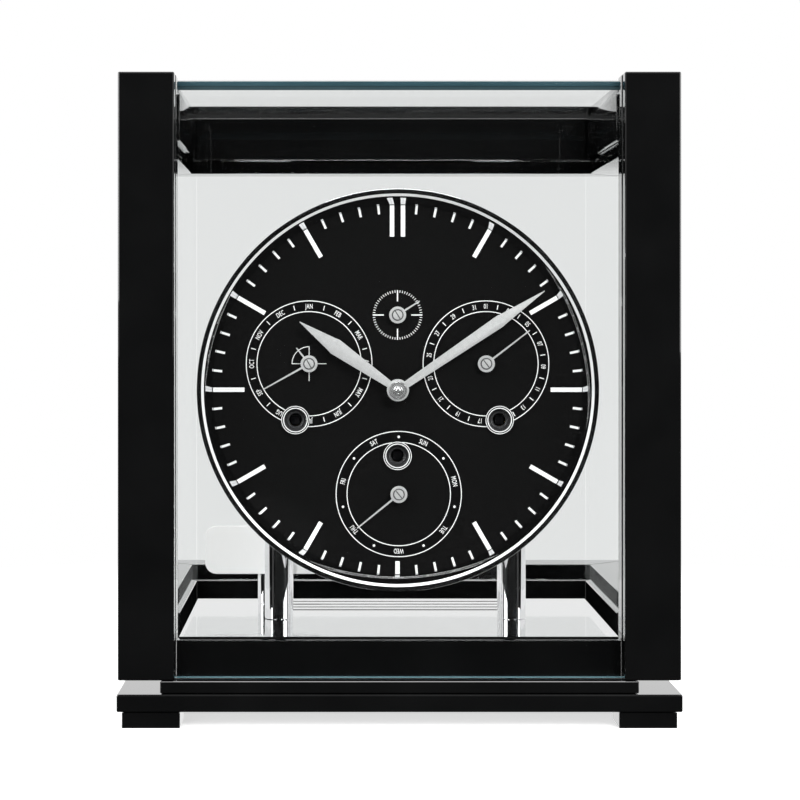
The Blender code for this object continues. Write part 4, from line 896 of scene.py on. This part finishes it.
def makeSmallHand(name, nodeName, centre):
    clockwise, reach = handLie(nodeName, centre)
    shape = bmesh.new()
    addBlade(shape, smallHub["radius"] * smallHub["bladeStart"], reach, smallHub["base"])
    rim = smallHub["radius"] - smallHub["rimWidth"]
    boreTop = smallHub["base"] + smallHub["boreDepth"]
    profile = [(0, boreTop), (smallHub["boreRadius"], boreTop),
               (smallHub["boreRadius"], smallHub["base"]), (smallHub["radius"], smallHub["base"]),
               (smallHub["radius"], smallHub["rimTop"]), (rim, smallHub["rimTop"]),
               (rim, smallHub["grooveTop"]), (smallHub["screwRadius"], smallHub["grooveTop"]),
               (smallHub["screwRadius"], smallHub["slotFloor"]), (0, smallHub["slotFloor"])]
    hub = turnedShape(profile, smallHub["steps"])
    # upward faces inside the rim, the groove round the screw and the slot's floor, are painted dark
    # grey, painted shade
    for face in hub.faces:
        spot = face.calc_center_median()
        inside = math.hypot(spot.x, spot.y) < rim - smallHub["grooveMargin"]
        face.material_index = 1 if inside and face.normal.z > facingShare else 0
    softenEdges(hub, smallHub["edgeRound"])
    joinShapes(shape, hub)
    addScrewHalves(shape, smallHub["screwRadius"], smallHub["slotFloor"] - smallHub["overlap"],
                   smallHub["screwTop"], smallHub["slotWidth"])
    moveShape(shape, Matrix.Translation((*centre, 0)) @ Matrix.Rotation(-clockwise, 4, "Z"))
    moveShape(shape, dialTurn)
    addPiece(name, shape, [hubSilver, paintedShadeGrey], bodyOf(nodeName), softAngle,
             [nodeName])


makeSmallHand("secondsHand", "seconds_hand", secondsTrack["centre"])
makeSmallHand("monthHand", "month_hand", monthTrack["centre"])
makeSmallHand("dateHand", "date_hand", dateTrack["centre"])
makeSmallHand("weekdayHand", "weekday_hand", weekdayTrack["centre"])
shape = copiedShape("leap_year_hand")
addPiece("leapYearHand", shape, [hubSilver], bodyOf("leap_year_hand"), softAngle,
         ["leap_year_hand"])
print("hands made")


# Movement: smooth copies of the wheels, arbors and hammer

movementCopies = [
    (wheelBrass, "clock_brass", {
        "goingBarrel": "going_barrel", "strikeBarrel": "strike_barrel",
        "chimeBarrel": "chime_barrel", "centreWheel": "centre_wheel", "hourWheel": "hour_wheel",
        "minuteWheel": "minute_wheel", "secondsWheel": "seconds_wheel", "dateWheel": "date_wheel",
        "weekdayWheel": "weekday_wheel", "monthWheel": "month_wheel",
        "balanceWheel": "balance_wheel"}),
    (darkSteel, "dark_steel", {
        "goingArbor": "going_winding_arbor", "strikeArbor": "strike_winding_arbor",
        "chimeArbor": "chime_winding_arbor"}),
    (steel, "satin_steel", {"strikeHammer": "strike_hammer"}),
]
for finish, slotName, copies in movementCopies:
    for name, nodeName in copies.items():
        addPiece(name, copiedShape(nodeName), [finish], bodyOf(nodeName), softAngle,
                 [nodeName])
print("movement copied")

# The lower rails are lacquered outside and satin inside. Reflections leave them out, so that the
# polished floor and the columns mirror the white room, as in a studio picture
lowerRails = {"lowerRailRear": ("rear_bottom_rail", Vector((0, -1, 0))),
              "lowerRailLeft": ("left_bottom_rail", Vector((1, 0, 0))),
              "lowerRailRight": ("right_bottom_rail", Vector((-1, 0, 0)))}
for name, (nodeName, inward) in lowerRails.items():
    shape = copiedShape(nodeName)
    for face in shape.faces:
        face.material_index = 1 if face.normal.dot(inward) > facingShare else 0
    piece = addPiece(name, shape, [lacquer, railSatin], bodyOf(nodeName),
                     crispAngle, [nodeName])
    piece.visible_glossy = False
upperRails = {"edgeRound": 0.00022,
              "nodes": {"upperRailLeft": "left_top_rail", "upperRailRight": "right_top_rail"}}
for name, nodeName in upperRails["nodes"].items():
    shape = copiedShape(nodeName)
    softenEdges(shape, upperRails["edgeRound"])
    addPiece(name, shape, [lacquer], bodyOf(nodeName), crispAngle, [nodeName])

# The floor plate is polished on its flat faces; its edges and slot walls are painted black, painted
# shade
floorCut = {"edge": 0.0005, "margin": 0.002, "level": 1e-5, "sharp": 1}
shape = copiedShape("floor_plate")
low, high = boxOf["floor_plate"]


def onSlotRim(edge):
    # a sharp upper edge of the plate that isn't its outline
    gap = floorCut["margin"]
    for end in (vertex.co for vertex in edge.verts):
        inside = low.x + gap < end.x < high.x - gap and low.y + gap < end.y < high.y - gap
        if not inside or abs(end.z - high.z) > floorCut["level"]:
            return False
    return edge.calc_face_angle(0) > floorCut["sharp"]


slotRims = [edge for edge in shape.edges if onSlotRim(edge)]
bmesh.ops.bevel(shape, geom=slotRims, offset=floorCut["edge"], affect="EDGES", segments=1,
                profile=0.5, material=-1)
shape.normal_update()
for face in shape.faces:
    # upright faces, the plate's edges and its slot walls, are painted black as painted shade
    face.material_index = 0 if abs(face.normal.z) > facingShare else 1
addPiece("floorPlate", shape, [floorSteel, paintedShadeBlack], bodyOf("floor_plate"),
         crispAngle, ["floor_plate"])
print("rails and floor plate made")


# Stage, lamps and camera

# Mirrors see the room dark in front of the clock and white on its other sides
surroundings = {"front": 0.006, "sides": 1.0, "darkUntil": -0.83, "lightFrom": -0.74,
                "diffuse": 0.45}
paperLook = {"half": 8.0, "grey": 0.86, "roughness": 0.8, "lift": 0.62, "shadowSpan": (0.42, 0.62),
             "frontSpan": (-0.0895, -0.0885)}


def rayStrength(tree, mirrored):
    # plain white where it is looked at, the given strength in reflections, and soft as a lamp
    path = tree.nodes.new("ShaderNodeLightPath")
    seen = calculate(tree, "MAXIMUM", path.outputs["Is Camera Ray"],
                     path.outputs["Is Transmission Ray"])
    shown = calculate(tree, "MULTIPLY_ADD", path.outputs["Is Glossy Ray"], mirrored, seen)
    strength = calculate(tree, "MULTIPLY_ADD", path.outputs["Is Diffuse Ray"],
                         surroundings["diffuse"], shown)
    return strength, seen


def makeFloor():
    # paper with the object's shadow near it, and plain white further out and in reflections
    shape = bmesh.new()
    bmesh.ops.create_grid(shape, x_segments=1, y_segments=1, size=paperLook["half"])
    mesh = bpy.data.meshes.new("floor")
    shape.to_mesh(mesh)
    shape.free()
    floor = bpy.data.objects.new("floor", mesh)
    bpy.context.scene.collection.objects.link(floor)
    finish, tree, shader = newFinish("floorPaper", grey(paperLook["grey"]), 0,
                                     paperLook["roughness"])
    shader.inputs["Specular IOR Level"].default_value = 0.0
    mirrored = valueSpan(tree, objectAxis(tree, "Y"), *paperLook["frontSpan"],
                         surroundings["front"], surroundings["sides"])
    strength, seen = rayStrength(tree, mirrored)
    white = tree.nodes.new("ShaderNodeEmission")
    tree.links.new(strength, white.inputs["Strength"])
    lift = tree.nodes.new("ShaderNodeEmission")
    lift.inputs["Strength"].default_value = paperLook["lift"]
    paper = tree.nodes.new("ShaderNodeAddShader")
    tree.links.new(shader.outputs["BSDF"], paper.inputs[0])
    tree.links.new(lift.outputs["Emission"], paper.inputs[1])
    place = tree.nodes.new("ShaderNodeTexCoord")
    length = tree.nodes.new("ShaderNodeVectorMath")
    length.operation = "LENGTH"
    tree.links.new(place.outputs["Object"], length.inputs[0])
    near = valueSpan(tree, length.outputs["Value"], *paperLook["shadowSpan"], 1, 0)
    mix = tree.nodes.new("ShaderNodeMixShader")
    tree.links.new(calculate(tree, "MULTIPLY", near, seen), mix.inputs["Fac"])
    tree.links.new(white.outputs["Emission"], mix.inputs[1])
    tree.links.new(paper.outputs["Shader"], mix.inputs[2])
    tree.links.new(mix.outputs["Shader"], tree.nodes["Material Output"].inputs["Surface"])
    mesh.materials.append(finish)


def makeWorld():
    world = bpy.data.worlds.new("studio")
    bpy.context.scene.world = world
    world.use_nodes = True
    tree = world.node_tree
    light = tree.nodes["Background"]
    light.inputs["Color"].default_value = (1, 1, 1, 1)
    place = tree.nodes.new("ShaderNodeTexCoord")
    split = tree.nodes.new("ShaderNodeSeparateXYZ")
    tree.links.new(place.outputs["Generated"], split.inputs["Vector"])
    mirrored = valueSpan(tree, split.outputs["Y"], surroundings["darkUntil"],
                         surroundings["lightFrom"], surroundings["front"], surroundings["sides"])
    strength, seen = rayStrength(tree, mirrored)
    tree.links.new(strength, light.inputs["Strength"])


makeFloor()
makeWorld()


def placeLamp(light, spot, aim, mirrored):
    holder = bpy.data.objects.new(light.name, light)
    holder.location = spot
    holder.rotation_euler = (Vector(aim) - Vector(spot)).to_track_quat("-Z", "Y").to_euler()
    holder.visible_glossy = mirrored
    bpy.context.scene.collection.objects.link(holder)


# The panes would mirror the two front lamps, so these are left out of reflections
lampAim = (0, 0, 0.13)
lamps = [
    {"name": "keyLamp", "spot": (0.55, -1.55, 0.85), "size": (0.5, 0.5), "power": 21,
     "mirrored": False},
    {"name": "fillLamp", "spot": (-0.45, -1.60, 0.30), "size": (0.6, 0.5), "power": 9,
     "mirrored": False},
    {"name": "leftLamp", "spot": (-1.15, -1.00, 0.75), "size": (0.7, 1.2), "power": 12,
     "mirrored": True},
    {"name": "rightLamp", "spot": (1.20, -0.95, 0.70), "size": (0.7, 1.2), "power": 10,
     "mirrored": True},
    {"name": "topLamp", "spot": (0.0, -0.25, 1.45), "size": (1.0, 0.8), "power": 14,
     "mirrored": True},
]
for lamp in lamps:
    light = bpy.data.lights.new(lamp["name"], "AREA")
    light.shape = "RECTANGLE"
    light.size, light.size_y = lamp["size"]
    light.energy = lamp["power"]
    placeLamp(light, lamp["spot"], lampAim, lamp["mirrored"])

# A narrow lamp through the front pane onto the name plate alone
plateLamp = {"spot": (-0.061, -0.90, 0.09), "aim": (-0.061, 0.0386, 0.0635), "angle": 4.4,
             "power": 13, "blend": 0.25, "softSize": 0.004}
light = bpy.data.lights.new("plateLamp", "SPOT")
light.energy = plateLamp["power"]
light.spot_size = math.radians(plateLamp["angle"])
light.spot_blend = plateLamp["blend"]
light.shadow_soft_size = plateLamp["softSize"]
placeLamp(light, plateLamp["spot"], plateLamp["aim"], False)

cameraPlace = {"spot": (-0.0270, -1.0874, 0.1735), "lens": 105.88, "sensor": 36,
               "shift": (0.08, -0.10)}
cameraData = bpy.data.cameras.new("camera")
cameraData.lens = cameraPlace["lens"]
cameraData.sensor_width = cameraPlace["sensor"]
cameraData.shift_x, cameraData.shift_y = cameraPlace["shift"]
camera = bpy.data.objects.new("camera", cameraData)
camera.location = cameraPlace["spot"]
camera.rotation_euler = (math.radians(90), 0, 0)
bpy.context.scene.collection.objects.link(camera)
bpy.context.scene.camera = camera
bpy.context.scene.view_settings.view_transform = "Standard"
print("stage, lamps and camera set")
